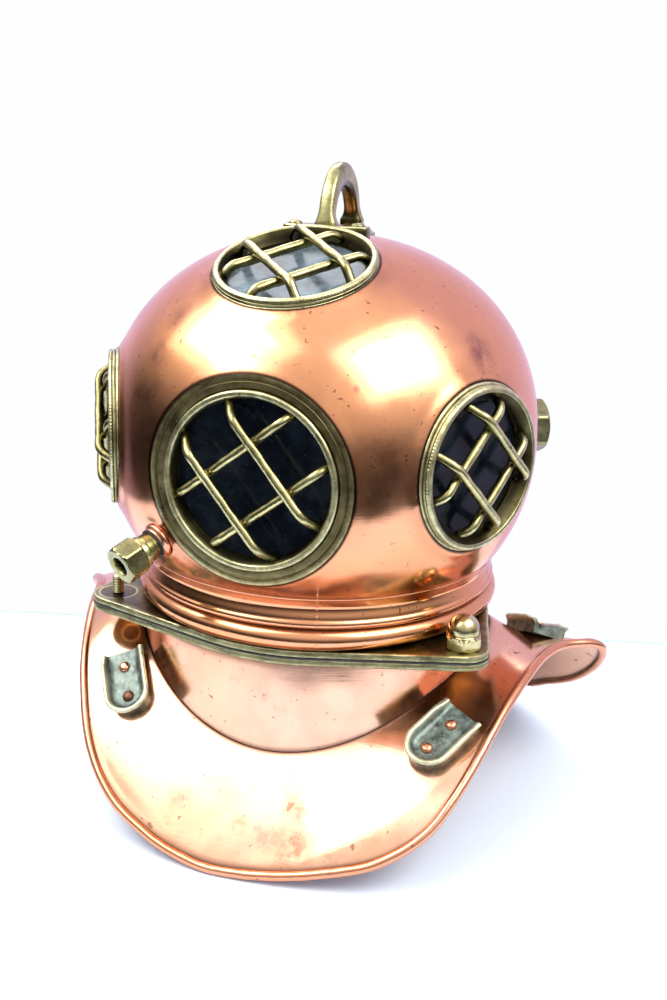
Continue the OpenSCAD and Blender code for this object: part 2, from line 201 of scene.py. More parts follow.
def ring_faces(rings, count, close_rings=False):
    """Quads between neighbouring closed rings of count points."""
    faces = []
    for j in range(rings if close_rings else rings - 1):
        for i in range(count):
            below = j * count
            above = ((j + 1) % rings) * count
            after = (i + 1) % count
            faces.append((below + i, below + after, above + after, above + i))
    return faces


def capped(rings):
    """Faces of a tube of rings with a fan closing each end, and the two points that the fans need."""
    count = len(rings[0])
    faces = ring_faces(len(rings), count)
    first = len(rings) * count
    last = first + 1
    top = (len(rings) - 1) * count
    for i in range(count):
        after = (i + 1) % count
        faces.append((first, after, i))
        faces.append((last, top + i, top + after))
    ends = [sum(rings[0], Vector()) / count, sum(rings[-1], Vector()) / count]
    return faces, ends


def tube_mesh(name, rings, sharp, wear, end_wear=(0, 0)):
    """Closed mesh of a tube of rings, with a wear and shade mark for each point and for the two ends."""
    faces, ends = capped(rings)
    return new_mesh(name, sum(rings, []) + ends, faces, sharp, wear=[*wear, *end_wear])


def circle(place, radius, height, sides):
    """Ring of points round a placed axis."""
    return [place @ polar(a, radius, height) for a in turns(sides)]


def blend(start, corner, end, steps):
    """Points of a curve from start to end that is drawn towards a corner."""
    shares = [k / steps for k in range(steps + 1)]
    return [start * (1 - t) ** 2 + corner * 2 * t * (1 - t) + end * t * t for t in shares]


def fillet(corners, steps=3):
    """Rounds a closed outline. Each corner is (x, y), (x, y, radius) or (x, y, radius, wear), where negative
    wear is painted shade.
    """
    line = []
    total = len(corners)
    for i, corner in enumerate(corners):
        here = Vector(corner[:2])
        radius = corner[2] if len(corner) > 2 else 0
        wear = corner[3] if len(corner) > 3 else 0.0
        if radius <= 0:
            line.append((here.x, here.y, wear))
            continue
        before = Vector(corners[i - 1][:2]) - here
        after = Vector(corners[(i + 1) % total][:2]) - here
        cut = min(radius, before.length * 0.49, after.length * 0.49)
        start = here + before.normalized() * cut
        end = here + after.normalized() * cut
        line += [(point.x, point.y, wear) for point in blend(start, here, end, steps)]
    return line


def arc(x, y, radius, start, end, steps, wear=0.0):
    """Points (x, y, wear) on an arc, with angles in degrees."""
    angles = [radians(start + (end - start) * k / steps) for k in range(steps + 1)]
    return [(x + radius * cos(a), y + radius * sin(a), wear) for a in angles]


def lathe(name, outline, place=Matrix.Identity(4), segments=160, wobble=0.0, sharp=45, ripple=None):
    """Turns a closed outline of (radius, height, wear and shade) points round local Z."""
    points = []
    wear = []
    for x, y, w in outline:
        for a in turns(segments):
            out = polar(a, 1)
            r = x + wobble * noise.noise(Vector((out.x * 2.2, out.y * 2.2, y * 0.05)))
            if ripple:
                r += ripple(a, x, y)
            points.append(place @ (out * r + up(y)))
            wear.append(w)
    return new_mesh(name, points, ring_faces(len(outline), segments, True), sharp, wear=wear)


def solid_turn(name, outline, place=Matrix.Identity(4), segments=64, sharp=40, height=None):
    """Turns an open outline whose two ends lie on the axis. height(x, y, z) may move each point."""
    rings = []
    wear = []
    for x, y, w in outline[1:-1]:
        rings.append([polar(a, x, y) for a in turns(segments)])
        wear += [w] * segments
    faces, _ = capped(rings)
    points = sum(rings, []) + [up(outline[0][1]), up(outline[-1][1])]
    if height:
        points = [Vector((p.x, p.y, height(*p))) for p in points]
    points = [place @ p for p in points]
    return new_mesh(name, points, faces, sharp, wear=wear + [outline[0][2], outline[-1][2]])


def swept_rings(path, radius, sides, closed=False, rough=0.0):
    """Rings of points round a path, carried along it without twist."""
    count = len(path)
    rings = []
    side = None
    for i, here in enumerate(path):
        ahead = path[(i + 1) % count] if closed or i < count - 1 else here
        behind = path[i - 1] if closed or i > 0 else here
        along = (ahead - behind).normalized()
        side = side if side is not None else along.orthogonal().normalized()
        side = (side - along * side.dot(along)).normalized()
        above = along.cross(side)
        ring = []
        for a in turns(sides):
            out = side * cos(a) + above * sin(a)
            r = radius + rough * noise.noise((here + out * radius) * 0.16)
            ring.append(here + out * r)
        rings.append(ring)
    return rings


def skin(name, outer, inner, kept, closed, sharp=None, **marks):
    """Solid sheet from two grids of points. kept(j, i) says which cells stay; walls close the edges."""
    rows, count = len(outer), len(outer[0])
    span = count if closed else count - 1
    cells = {(j, i) for j in range(rows - 1) for i in range(span) if kept(j, i)}
    base = rows * count
    faces = []

    def around(j, i):
        after = (i + 1) % count
        return j * count + i, j * count + after, (j + 1) * count + after, (j + 1) * count + i

    for j, i in sorted(cells):
        a, b, c, d = around(j, i)
        faces.append((a, b, c, d))
        faces.append((base + d, base + c, base + b, base + a))
        left = (i - 1) % count if closed else i - 1
        right = (i + 1) % count if closed else i + 1
        beside = {(j - 1, i): (a, b), (j, right): (b, c), (j + 1, i): (c, d), (j, left): (d, a)}
        for cell, (p, q) in beside.items():
            if cell not in cells:
                faces.append((q, p, base + p, base + q))
    points = [p for row in outer for p in row] + [p for row in inner for p in row]
    doubled = {key: values + values for key, values in marks.items()}
    mesh = new_mesh(name, points, faces, sharp, **doubled)
    work = bmesh.new()
    work.from_mesh(mesh)
    loose = [v for v in work.verts if not v.link_faces]
    bmesh.ops.delete(work, geom=loose, context="VERTS")
    work.to_mesh(mesh)
    work.free()
    return mesh


def smooth_step(t):
    t = max(0.0, min(1.0, t))
    return t * t * (3 - 2 * t)


# ---- material tools


class Nodes:
    """Builds shader nodes. Every input takes a plain value or another node's socket."""

    def __init__(self, tree):
        self.tree = tree

    def set(self, socket, value):
        if isinstance(value, bpy.types.NodeSocket):
            self.tree.links.new(value, socket)
        else:
            socket.default_value = value

    def add(self, kind, inputs=None, **settings):
        node = self.tree.nodes.new("ShaderNode" + kind)
        for key, value in settings.items():
            setattr(node, key, value)
        for key, value in (inputs or {}).items():
            self.set(node.inputs[key], value)
        return node

    def spread(self, value, low, high, start=0.0, end=1.0):
        """Stretches low..high of a value to start..end."""
        ends = {"Value": value, "From Min": low, "From Max": high, "To Min": start, "To Max": end}
        return self.add("MapRange", ends).outputs["Result"]

    def mix(self, amount, first, second):
        """Colour between two others, each a socket or red, green and blue."""
        pair = [c if isinstance(c, bpy.types.NodeSocket) else (*c, 1) for c in (first, second)]
        return self.add("Mix", {"Factor": amount, 6: pair[0], 7: pair[1]}, data_type="RGBA").outputs[2]


class Paint(Nodes):
    """A Principled material, whose colour is built up in coats from procedural nodes."""

    def __init__(self, name, metallic, **fixed):
        self.material = bpy.data.materials.new(name)
        self.material.use_nodes = True
        super().__init__(self.material.node_tree)
        self.shader = self.tree.nodes["Principled BSDF"]
        for key, value in dict(fixed, Metallic=metallic).items():
            self.shader.inputs[key.replace("_", " ")].default_value = value
        self.where = self.add("TexCoord").outputs["Object"]
        self.colour = None

    def stretched(self, scale):
        return self.add("Mapping", {"Vector": self.where, "Scale": scale}).outputs["Vector"]

    def noise(self, scale, detail=4, rough=0.55, vector=None):
        inputs = {"Vector": vector or self.where, "Scale": scale, "Detail": detail, "Roughness": rough}
        return self.add("TexNoise", inputs).outputs["Fac"]

    def cloud(self, scale, detail, low, high, start=0.0, end=1.0, rough=0.55):
        """Noise with its range low..high stretched to start..end."""
        return self.spread(self.noise(scale, detail, rough), low, high, start, end)

    def mark(self, name):
        return self.add("Attribute", attribute_name=name).outputs["Fac"]

    def math(self, kind, a, b):
        return self.add("Math", {0: a, 1: b}, operation=kind).outputs[0]

    def times(self, a, b):
        return self.math("MULTIPLY", a, b)

    def vector(self, kind, a, b=None):
        """A vector node: its vector, or the plain number where the kind gives one."""
        inputs = {0: a} if b is None else {0: a, 1: b}
        plain = kind in ("LENGTH", "DISTANCE", "DOT_PRODUCT")
        return self.add("VectorMath", inputs, operation=kind).outputs["Value" if plain else "Vector"]

    def near(self, point, low, high):
        """One within low millimetres of a point, falling to zero at high."""
        off = self.vector("DISTANCE", self.where, Vector(point) * MM)
        return self.spread(off, low * MM, high * MM, 1.0, 0.0)

    def round_ring(self, place, radius, low, high):
        """One at the wall of a ring on the dome, falling to zero from low to high millimetres off it."""
        foot = place @ Vector((0, 0, 0))
        axis = (place @ Vector((0, 0, 1)) - foot).normalized()
        away = self.vector("SUBTRACT", self.where, foot * MM)
        off = self.vector("LENGTH", self.vector("CROSS_PRODUCT", away, axis))
        near = self.spread(off, (radius + low) * MM, (radius + high) * MM, 1.0, 0.0)
        return self.times(near, self.spread(self.vector("DOT_PRODUCT", self.where, axis), 0.0, 0.02))

    def coat(self, amount, tint):
        """Lays a colour over the ones before."""
        self.colour = self.mix(amount, self.colour, tint)

    def finish(self, roughness, bumps):
        """Each bump is a height value, a strength and a depth in metres."""
        self.set(self.shader.inputs["Base Color"], self.colour)
        self.set(self.shader.inputs["Roughness"], roughness)
        normal = None
        for value, strength, depth in bumps:
            node = self.add("Bump", {"Height": value, "Strength": strength, "Distance": depth})
            if normal:
                self.set(node.inputs["Normal"], normal)
            normal = node.outputs["Normal"]
        if normal:
            self.set(self.shader.inputs["Normal"], normal)
        return self.material


def copper_paint(name, orange, pink, stain=0.35, dull=0.0, rings=(), smudges=()):
    """Polished copper: warm patches, small dark specks, stains, dirt round the rings, painted crease shade
    and slight waves.
    """
    p = Paint(name, 1.0, Specular_Tint=(1.0, 0.90, 0.88, 1))
    p.colour = p.mix(p.cloud(9, 3, 0.35, 0.65), orange, pink)
    p.coat(p.cloud(45, 6, 0.35, 0.75, 0.0, 0.22), (0.52, 0.22, 0.13))
    p.coat(p.cloud(17, 7, 0.60, 0.70, 0.0, stain, 0.7), (0.26, 0.11, 0.10))
    p.coat(p.cloud(330, 2, 0.70, 0.74, 0.0, 0.75, 0.5), (0.12, 0.05, 0.04))
    p.coat(p.cloud(105, 3, 0.70, 0.73, 0.0, 0.7), (0.19, 0.07, 0.045))
    # Painted shade: the point mark darkens creases, joints and the bowl under the flange; on one rivet it
    # stands for tarnish.
    p.coat(p.mark("grime"), (0.075, 0.035, 0.022))
    for spot, size, strength, tint in smudges:
        ragged = p.cloud(60, 7, 0.34, 0.60, rough=0.7)
        patch = p.times(p.near(DOME_CENTRE + Vector(spot), size * 0.25, size), ragged)
        p.coat(p.times(patch, strength), tint)
    for place, radius, _ in rings:
        smoke = p.times(p.round_ring(place, radius, 0.5, 11), p.cloud(22, 5, 0.42, 0.66, 0, 0.5))
        p.coat(smoke, (0.30, 0.125, 0.07))
        p.coat(p.round_ring(place, radius, 0.3, 1.5), (0.045, 0.022, 0.014))
    scratches = p.noise(60, 5, 0.6, p.stretched((1, 1, 14)))
    rough = p.cloud(26, 6, 0.3, 0.75, 0.10 + dull, 0.26 + dull, 0.65)
    rough = p.math("ADD", rough, p.times(p.mark("grime"), 0.3))
    return p.finish(rough, [
        (p.noise(14, 2), 0.06, 0.0030), (p.noise(70, 3), 0.07, 0.0006), (scratches, 0.05, 0.0004),
    ])


def brass_paint(name, dark, mid, bright, rubbed, low_rough=0.22, high_rough=0.5, witness=None):
    """Aged brass: olive film, green traces, rubbed where the wear mark is high and painted shade where it is
    negative.
    """
    p = Paint(name, 1.0)
    film = p.noise(38, 8, 0.68)
    p.colour = p.mix(p.spread(film, 0.36, 0.56), dark, mid)
    p.coat(p.spread(film, 0.54, 0.70), bright)
    p.coat(p.cloud(21, 5, 0.58, 0.72, 0.0, 0.45), (0.16, 0.20, 0.10))
    p.coat(p.times(p.mark("wear"), p.cloud(120, 5, 0.30, 0.62, 0.25, 1.0, 0.7)), rubbed)
    if witness:
        inside = p.near(witness, 12.4, 12.9)
        ring = p.math("SUBTRACT", p.near(witness, 13.2, 14.0), inside)
        p.coat(p.times(inside, 0.55), (0.07, 0.06, 0.035))
        p.coat(p.times(ring, 0.8), rubbed)
    # Painted shade: near black where the mark is negative, on the bezels' inner bevels and under the handle
    # arch.
    p.coat(p.spread(p.mark("wear"), 0.0, -1.0, 0.0, 0.95), (0.016, 0.013, 0.007))
    p.coat(p.cloud(420, 2, 0.68, 0.73, 0.0, 0.8), (0.035, 0.028, 0.015))
    rough = p.cloud(55, 7, 0.3, 0.7, low_rough, high_rough, 0.65)
    brushed = p.noise(160, 4, 0.6, p.stretched((1, 1, 9)))
    return p.finish(rough, [
        (p.noise(60, 5), 0.25, 0.0012), (p.noise(420, 3, 0.6), 0.22, 0.0003), (brushed, 0.10, 0.0004),
    ])


def patina_paint():
    """Cast bronze: grey-green floor with darker hollows, and pale rubbed lips."""
    p = Paint("patina_bronze", 0.72)
    film = p.noise(90, 8, 0.7)
    p.colour = p.mix(p.spread(film, 0.38, 0.64), (0.045, 0.055, 0.048), (0.24, 0.29, 0.24))
    p.coat(p.cloud(210, 5, 0.58, 0.72, 0.0, 0.5), (0.38, 0.44, 0.36))
    p.coat(p.times(p.mark("wear"), p.cloud(150, 6, 0.28, 0.55, 0.55, 1.0, 0.7)), (0.66, 0.64, 0.40))
    rough = p.math("SUBTRACT", p.spread(film, 0.35, 0.7, 0.34, 0.58), p.times(p.mark("wear"), 0.14))
    return p.finish(rough, [(p.noise(260, 6), 0.35, 0.0007), (p.noise(60, 3), 0.2, 0.001)])


def rubber_paint():
    p = Paint("rubber", 0.0)
    p.colour = p.mix(p.noise(150, 6), (0.010, 0.009, 0.008), (0.045, 0.040, 0.034))
    return p.finish(p.cloud(90, 4, 0.3, 0.7, 0.5, 0.8), [(p.noise(600, 4), 0.3, 0.0003)])


def glass_paint(name, deep, dust_colour, dust):
    """Old pane whose base colour is painted shade for the dark inside: dust film, wiped arcs and fine
    scratches.
    """
    p = Paint(name, 0.0, IOR=1.5, Specular_IOR_Level=0.25)
    film = p.noise(34, 8, 0.7)
    wiped = p.noise(18, 3, 0.5, p.stretched((1, 1, 5)))
    amount = p.times(p.spread(film, 0.40, 0.78, 0.0, dust), p.spread(wiped, 0.35, 0.6, 0.35, 1.0))
    # The deep colour is painted shade for the inside of the helmet behind the pane.
    p.colour = p.mix(amount, deep, dust_colour)
    p.coat(p.cloud(520, 2, 0.70, 0.74, 0.0, 0.6), dust_colour)
    rough = p.spread(film, 0.35, 0.8, 0.05, 0.45)
    scratches = p.noise(240, 3, 0.5, p.stretched((1, 1, 0.08)))
    return p.finish(rough, [(scratches, 0.03, 0.0002), (p.noise(12, 1), 0.03, 0.002)])


BARE_STUD = from_front(-60) * STUD_CIRCLE + up(FLANGE_TOP)
PURPLE = (0.22, 0.075, 0.09)
SMOKE = (0.24, 0.10, 0.05)
RUST = (0.30, 0.11, 0.06)

# Stains: place from the centre of the dome, size, strength and colour.
DOME_SMUDGES = [
    ((120, -51, 73), 17, 0.75, PURPLE), ((83, -124, 15), 26, 0.65, SMOKE), ((79, -127, -6), 16, 0.7, SMOKE),
    ((-70, -126, 42), 17, 0.6, PURPLE), ((-69, -115, 65), 15, 0.6, PURPLE),
    ((-63, -101, 89), 13, 0.5, PURPLE), ((-66, -134, 16), 20, 0.7, SMOKE),
    ((56, -114, 78), 3.0, 0.9, PURPLE), ((62, -124, 58), 3.4, 0.9, PURPLE),
]
APRON_SMUDGES = [
    ((40, -146, -209), 16, 0.75, RUST), ((42, -165, -229), 20, 0.85, RUST),
    ((-37, -156, -216), 11, 0.8, PURPLE), ((6, -160, -223), 8, 0.6, RUST), ((90, -123, -189), 6, 0.6, RUST),
]
copper = copper_paint("copper", (0.74, 0.325, 0.145), (0.77, 0.36, 0.20))
dome_copper = copper_paint("dome_copper", (0.75, 0.325, 0.145), (0.78, 0.365, 0.205), rings=HOLES,
                           smudges=DOME_SMUDGES)
apron_copper = copper_paint("apron_copper", (0.79, 0.42, 0.26), (0.83, 0.49, 0.34), stain=0.6,
                            smudges=APRON_SMUDGES)
bead_copper = copper_paint("bead_copper", (0.68, 0.29, 0.15), (0.72, 0.34, 0.21), stain=0.6, dull=0.06)
brass = brass_paint("aged_brass", (0.060, 0.050, 0.018), (0.155, 0.133, 0.052), (0.29, 0.255, 0.11),
                    (0.72, 0.68, 0.38), witness=BARE_STUD)
ring_brass = brass_paint("ring_brass", (0.055, 0.041, 0.015), (0.14, 0.104, 0.037), (0.28, 0.222, 0.088),
                         (0.60, 0.52, 0.26))
rod_brass = brass_paint("rod_brass", (0.06, 0.052, 0.018), (0.20, 0.172, 0.062), (0.38, 0.335, 0.14),
                        (0.72, 0.67, 0.34), 0.16, 0.38)
nut_brass = brass_paint("polished_brass", (0.30, 0.235, 0.09), (0.50, 0.41, 0.18), (0.66, 0.57, 0.29),
                        (0.84, 0.77, 0.48), 0.10, 0.26)
patina = patina_paint()
rubber = rubber_paint()
dark_glass = glass_paint("dark_glass", (0.002, 0.003, 0.005), (0.05, 0.07, 0.085), 0.30)
pale_glass = glass_paint("pale_glass", (0.065, 0.075, 0.07), (0.36, 0.46, 0.50), 0.95)

# ---- bonnet


def dome_at(z):
    """Radius of the dome at a height z from its widest circle."""
    return DOME_R * max(0.0, 1 - (abs(z) / DOME_TOP) ** DOME_POWER) ** (1 / DOME_POWER)


HIDDEN_EDGE = 0.6  # how far the sheet's edge reaches into a ring's wall
CUT_IN = 2.6  # grid points further inside a ring than this are left out
SNAP_OUT = 1.3  # and the others, out to this, move onto the sheet's edge
RISE_WIDTH = 4.5  # how far the rise round a ring spreads
DOME_COLUMNS = 480
DOME_ROWS = 170
CROWN_EDGE = 89.4  # degrees up the dome, where its grid meets the crown disc


def onto_dome(local, place):
    """Moves a point along its ring's axis until it lies on the dome."""
    def gap(z):
        p = place @ Vector((local.x, local.y, z)) - DOME_CENTRE
        return (hypot(p.x, p.y) / DOME_R) ** DOME_POWER + (abs(p.z) / DOME_TOP) ** DOME_POWER - 1

    z = local.z
    for _ in range(5):
        z -= gap(z) / ((gap(z + 0.1) - gap(z)) / 0.1)
    return place @ Vector((local.x, local.y, z))


def dome_spot(point, holes):
    """Where a point of the ideal dome goes, its dent, and its state: inside a ring, on an edge or None."""
    state = None
    dent = 0.16 * noise.noise(point / 40) + 0.02 * noise.noise(point / 14) - 0.3
    for place, inverse, radius, rise in holes:
        local = inverse @ point
        if local.z < (-40 if radius > 20 else 100):
            continue
        off = hypot(local.x, local.y) - radius
        if off < -CUT_IN:
            state = "inside"
        elif off < SNAP_OUT:
            state = state or "edge"
            local.xy *= (radius - HIDDEN_EDGE) / (radius + off)
            point = onto_dome(local, place)
        dent += rise * exp(-(max(0.0, off) / RISE_WIDTH) ** 2)
    return point, dent, state


def make_dome():
    """Raised sheet with its edges trimmed to the rings, and a disc that closes the crown."""
    low = -asin((DOME_Z - NECK_TOP) / DOME_TOP)
    crown_a = radians(CROWN_EDGE)
    holes = [(place, place.inverted(), radius, rise) for place, radius, rise in HOLES]
    outer, inner = [], []
    states = {}
    for j in range(DOME_ROWS + 1):
        a = crown_a + (low - crown_a) * j / DOME_ROWS
        z = DOME_TOP * sin(a)
        r = dome_at(z)
        out_row, in_row = [], []
        for i, t in enumerate(turns(DOME_COLUMNS)):
            out = polar(t, 1)
            normal = Vector((out.x * r, out.y * r, z)).normalized()
            point, dent, states[j, i] = dome_spot(out * r + up(DOME_Z + z), holes)
            out_row.append(point + normal * dent)
            in_row.append(point + normal * (dent - SHEET))
        outer.append(out_row)
        inner.append(in_row)

    def kept(j, i):
        after = (i + 1) % DOME_COLUMNS
        corners = [states[row, col] for row in (j, j + 1) for col in (i, after)]
        return "inside" not in corners and None in corners

    body = skin("dome", outer, inner, kept, True, 50)
    top = DOME_Z + DOME_TOP
    crown = solid_turn("crown", [(0, top - 0.35, 0), (3.5, top - 0.5, 0), (3.5, top - SHEET, 0),
                                 (0, top - SHEET, 0)])
    return [body, crown]


WAIST_RISE = 8  # how far the neck's waist climbs the dome
WAIST_STEPS = 7
FLARE_STEPS = 8
SOLDER_DOTS = 22
SOLDER_STEP = 2.15  # height from dot to dot
SOLDER_TURN = 18.6  # degrees from straight ahead


def neck_outline():
    """Outside of the spun neck from the flange up: rolled bead, groove, flare, and waist."""
    line = [(121.6, FLANGE_TOP, 0)]
    line += arc(120.8, FLANGE_TOP + 8.2, 7.5, -78, 72, 16)
    line += [(122.7, FLANGE_TOP + 15.9, 0)]
    line += arc(122.6, FLANGE_TOP + 19.0, 3.2, -62, 58, 8)
    flare_r, flare_z, _ = line[-1]
    waist_z = NECK_TOP - 0.5
    for k in range(1, FLARE_STEPS + 1):
        t = k / FLARE_STEPS
        line.append((flare_r + (122.6 - flare_r) * smooth_step(t), flare_z + (waist_z - flare_z) * t, 0))
    for k in range(1, WAIST_STEPS + 1):
        z = waist_z + k * WAIST_RISE / WAIST_STEPS
        line.append((dome_at(DOME_Z - z) + 0.05 + 1.85 * (1 - k / WAIST_STEPS) ** 1.7, z, 0))
    return line


def neck_mesh():
    """Spun neck with painted shade in its creases."""
    line = [(NECK_BORE, FLANGE_TOP, 0)] + neck_outline()
    line += [(dome_at(DOME_Z - NECK_TOP - WAIST_RISE) - 0.6, NECK_TOP + WAIST_RISE + 0.1, 0),
             (NECK_BORE + 1.5, NECK_TOP + 0.4, 0)]
    mesh = lathe("neck", line, segments=320, wobble=0.2, sharp=60)
    # Painted shade: height of each crease and how dark it is painted.
    creases = ((FLANGE_TOP + 0.8, 1.0), (FLANGE_TOP + 15.8, 1.0), (NECK_TOP + WAIST_RISE, 0.35))
    heights = [v.co.z / MM for v in mesh.vertices]
    grime = [max(depth * exp(-abs(h - z) / 0.9) for z, depth in creases) for h in heights]
    add_mark(mesh, "grime", grime)
    return mesh


def seam_radius(z):
    """Radius of the neck, or of the dome above it, at a height."""
    line = neck_outline()
    for (r0, z0, _), (r1, z1, _) in zip(line, line[1:]):
        if z0 <= z < z1:
            return r0 + (r1 - r0) * (z - z0) / (z1 - z0)
    return dome_at(DOME_Z - z)


def neck_seam():
    """Dotted run of solder from under the front window down the neck, just right of the middle."""
    beads = []
    out = from_front(SOLDER_TURN)
    for k in range(SOLDER_DOTS):
        z = FLANGE_TOP + 5 + k * SOLDER_STEP
        size = 0.9 + 0.25 * sin(k * 2.3)
        place = Matrix.Translation(out * (seam_radius(z) - 0.45) + up(z))
        place = place @ Matrix.Diagonal((size, size, size, 1))
        ball = [(0, -0.8, 0)] + arc(0, 0, 0.8, -75, 75, 5) + [(0, 0.8, 0)]
        beads.append(solid_turn("bead", ball, place, segments=12))
    return beads


add_piece("dome_sheet", make_dome(), "bonnet", dome_copper, ["bonnet_dome"])
add_piece("neck_spun", [neck_mesh()], "bonnet", copper, ["bonnet_neck"])
add_piece("neck_solder", neck_seam(), "bonnet", bead_copper)

# ---- flange


def plate_line(steps=14):
    """Plate outline: a circle with a lobe at each stud, joined by straight tangents."""
    half = 90 - degrees(asin((PLATE_R - LOBE_R) / STUD_CIRCLE))
    corners = []
    for a in STUD_TURNS:
        for k in range(steps + 1):
            t = -1 + 2 * k / steps
            corners.append(from_front(a) * STUD_CIRCLE + from_front(a + t * half) * LOBE_R)
        for k in range(2 * steps + 1):
            corners.append(from_front(a + half + k / (2 * steps) * (120 - 2 * half)) * PLATE_R)
    line = []
    for i, here in enumerate(corners):
        ahead = corners[(i + 1) % len(corners)]
        count = max(1, round((ahead - here).length / 3))
        line += [here + (ahead - here) * k / count for k in range(count)]
    return line


PLATE_LINE = plate_line()


def plate_mesh(name, low, high, bevel=0.7, rough=0.22):
    """Flange plate with rubbed, uneven edges. Each section row: share of the way in, inset, height, wear."""
    count = len(PLATE_LINE)
    outs = []
    for i, here in enumerate(PLATE_LINE):
        along = PLATE_LINE[(i + 1) % count] - PLATE_LINE[i - 1]
        outs.append(Vector((along.y, -along.x, 0)).normalized())
    section = [(0, -bevel * 2, low + 0.05, 0), (0, -bevel, low, 0.3), (0, 0, low + bevel, 0.8),
               (0, 0.0, (low + high) / 2, 0.15), (0, 0, high - bevel, 0.8), (0, -bevel * 0.35, high - 0.2, 1),
               (0, -bevel, high, 1.0), (0, -bevel - 1.2, high, 0.35), (0.25, 0, high, 0), (0.5, 0, high, 0),
               (1, 0, high, 0), (1, 0, low, 0), (0.5, 0, low, 0)]
    points, wear = [], []
    for share, inset, z, mark in section:
        for here, out in zip(PLATE_LINE, outs):
            start = here + out * inset
            end = here.normalized() * FLANGE_BORE
            point = start * (1 - share) + end * share
            dent = rough * noise.noise(point / 9 + up(z))
            if share == 0:
                point = point + out * (dent - rough)
            points.append(Vector((point.x, point.y, z + 0.3 * min(0.0, dent))))
            wear.append(mark)
    return new_mesh(name, points, ring_faces(len(section), count, True), 40, wear=wear)


add_piece("flange_upper", [plate_mesh("upper", FLANGE_JOINT, FLANGE_TOP)], "bonnet", brass,
          ["bonnet_flange"])
add_piece("flange_lower", [plate_mesh("lower", FLANGE_LOW, LOWER_TOP)], "corselet", brass,
          ["corselet_flange"])


def stud_mesh(turn):
    """Stud with a helical thread above the plates and a rounded end."""
    pitch, depth, sides, steps = 1.25, 0.62, 40, 100
    round_h = 1.3
    base = from_front(turn) * STUD_CIRCLE
    rings, wear = [], []
    for j in range(steps + 1):
        z = FLANGE_TOP - 1 + (STUD_H + 1) * j / steps
        end = max(0.0, z - (FLANGE_TOP + STUD_H - round_h)) / round_h
        ring = []
        for i, a in enumerate(turns(sides)):
            valley = abs(2 * ((z / pitch - i / sides) % 1) - 1)
            r = min(STUD_R - depth * valley, STUD_R - 1.1 * end)
            ring.append(base + polar(a, r, z))
            wear.append(1 - valley)
        rings.append(ring)
    foot = [p + up(FLANGE_LOW - FLANGE_TOP + 1) for p in rings[0]]
    return tube_mesh("stud", [foot] + rings, 50, [0] * sides + wear, (0, 0.6))


add_piece("studs", [stud_mesh(turn) for turn in STUD_TURNS], "corselet", brass, ["flange_studs"])

HEX_SIDES = 120  # points round a hexagonal piece
NUT_R = 12.75  # to the corners of the domed nuts
NUT_TURN = 14


def hex_rings(radius, low, high, place, steps=10):
    """Rings of a hexagonal bar whose ends are turned to a cone, which leaves arcs on its flats."""
    rings = []
    flat = radius * cos(pi / 6)
    for j in range(steps + 1):
        z = low + (high - low) * (0.5 - 0.5 * cos(pi * j / steps))
        cone = flat - 0.2 + min(z - low, high - z) / tan(radians(30))
        ring = []
        for a in turns(HEX_SIDES):
            corner = (a + pi / 6) % (pi / 3) - pi / 6
            r = flat / cos(corner) - 0.5 * max(0.0, 1 - abs(abs(corner) - pi / 6) / 0.06) ** 2
            ring.append(place @ polar(a, min(r, cone), z))
        rings.append(ring)
    return rings


def acorn_nut(turn):
    """Chamfered hexagon, a narrow neck and a domed cap."""
    place = Matrix.Translation(from_front(turn) * STUD_CIRCLE + up(FLANGE_TOP)) @ turned(turn + NUT_TURN)
    hex_h, dome_r, dome_z = 8.8, 10.3, 12.2
    rings = hex_rings(NUT_R, 0, hex_h, place)
    cap = [(10.0, hex_h + 0.02), (9.6, hex_h + 0.5), (9.7, hex_h + 1.0), (10.2, hex_h + 1.6)]
    cap += [(x, y) for x, y, _ in arc(0, dome_z, dome_r, 3, 87, 16)]
    rings += [circle(place, r, z, HEX_SIDES) for r, z in cap]
    return tube_mesh("acorn", rings, 32, [0.4] * (HEX_SIDES * len(rings)), (0.4, 0.4))


for side, turn, body in (("right", 60, "nut_right"), ("rear", 180, "nut_rear")):
    add_piece("acorn_" + side, [acorn_nut(turn)], body, nut_brass, ["acorn_nut_" + side])

# ---- windows


def ring_mesh(w, place, front):
    """Fixed ring: broad rounded rim, an inner step for the thread and a ledge for the seal."""
    r, deep = w["ring"], w["depth"]
    line = [(w["ledge"], -deep), (r, -deep), (r, -3.0, 0.5, 0.2), (r - 0.5, -2.2, 0.3, 0.1)]
    line += [(r - 0.5, 0, 1.1, 0.9)]
    if front:
        line += [(r - 4.6, 0.0, 0.2, 0.1), (r - 5.0, -0.5, 0.2), (r - 5.4, 0.0, 0.2, 0.3)]
    line += [(w["thread"] + 0.3, 0, 0.4, 0.5), (w["thread"] + 0.1, -deep + LEDGE_T),
             (w["ledge"], -deep + LEDGE_T)]
    return lathe("ring", fillet(line), place, segments=240, wobble=0.18)


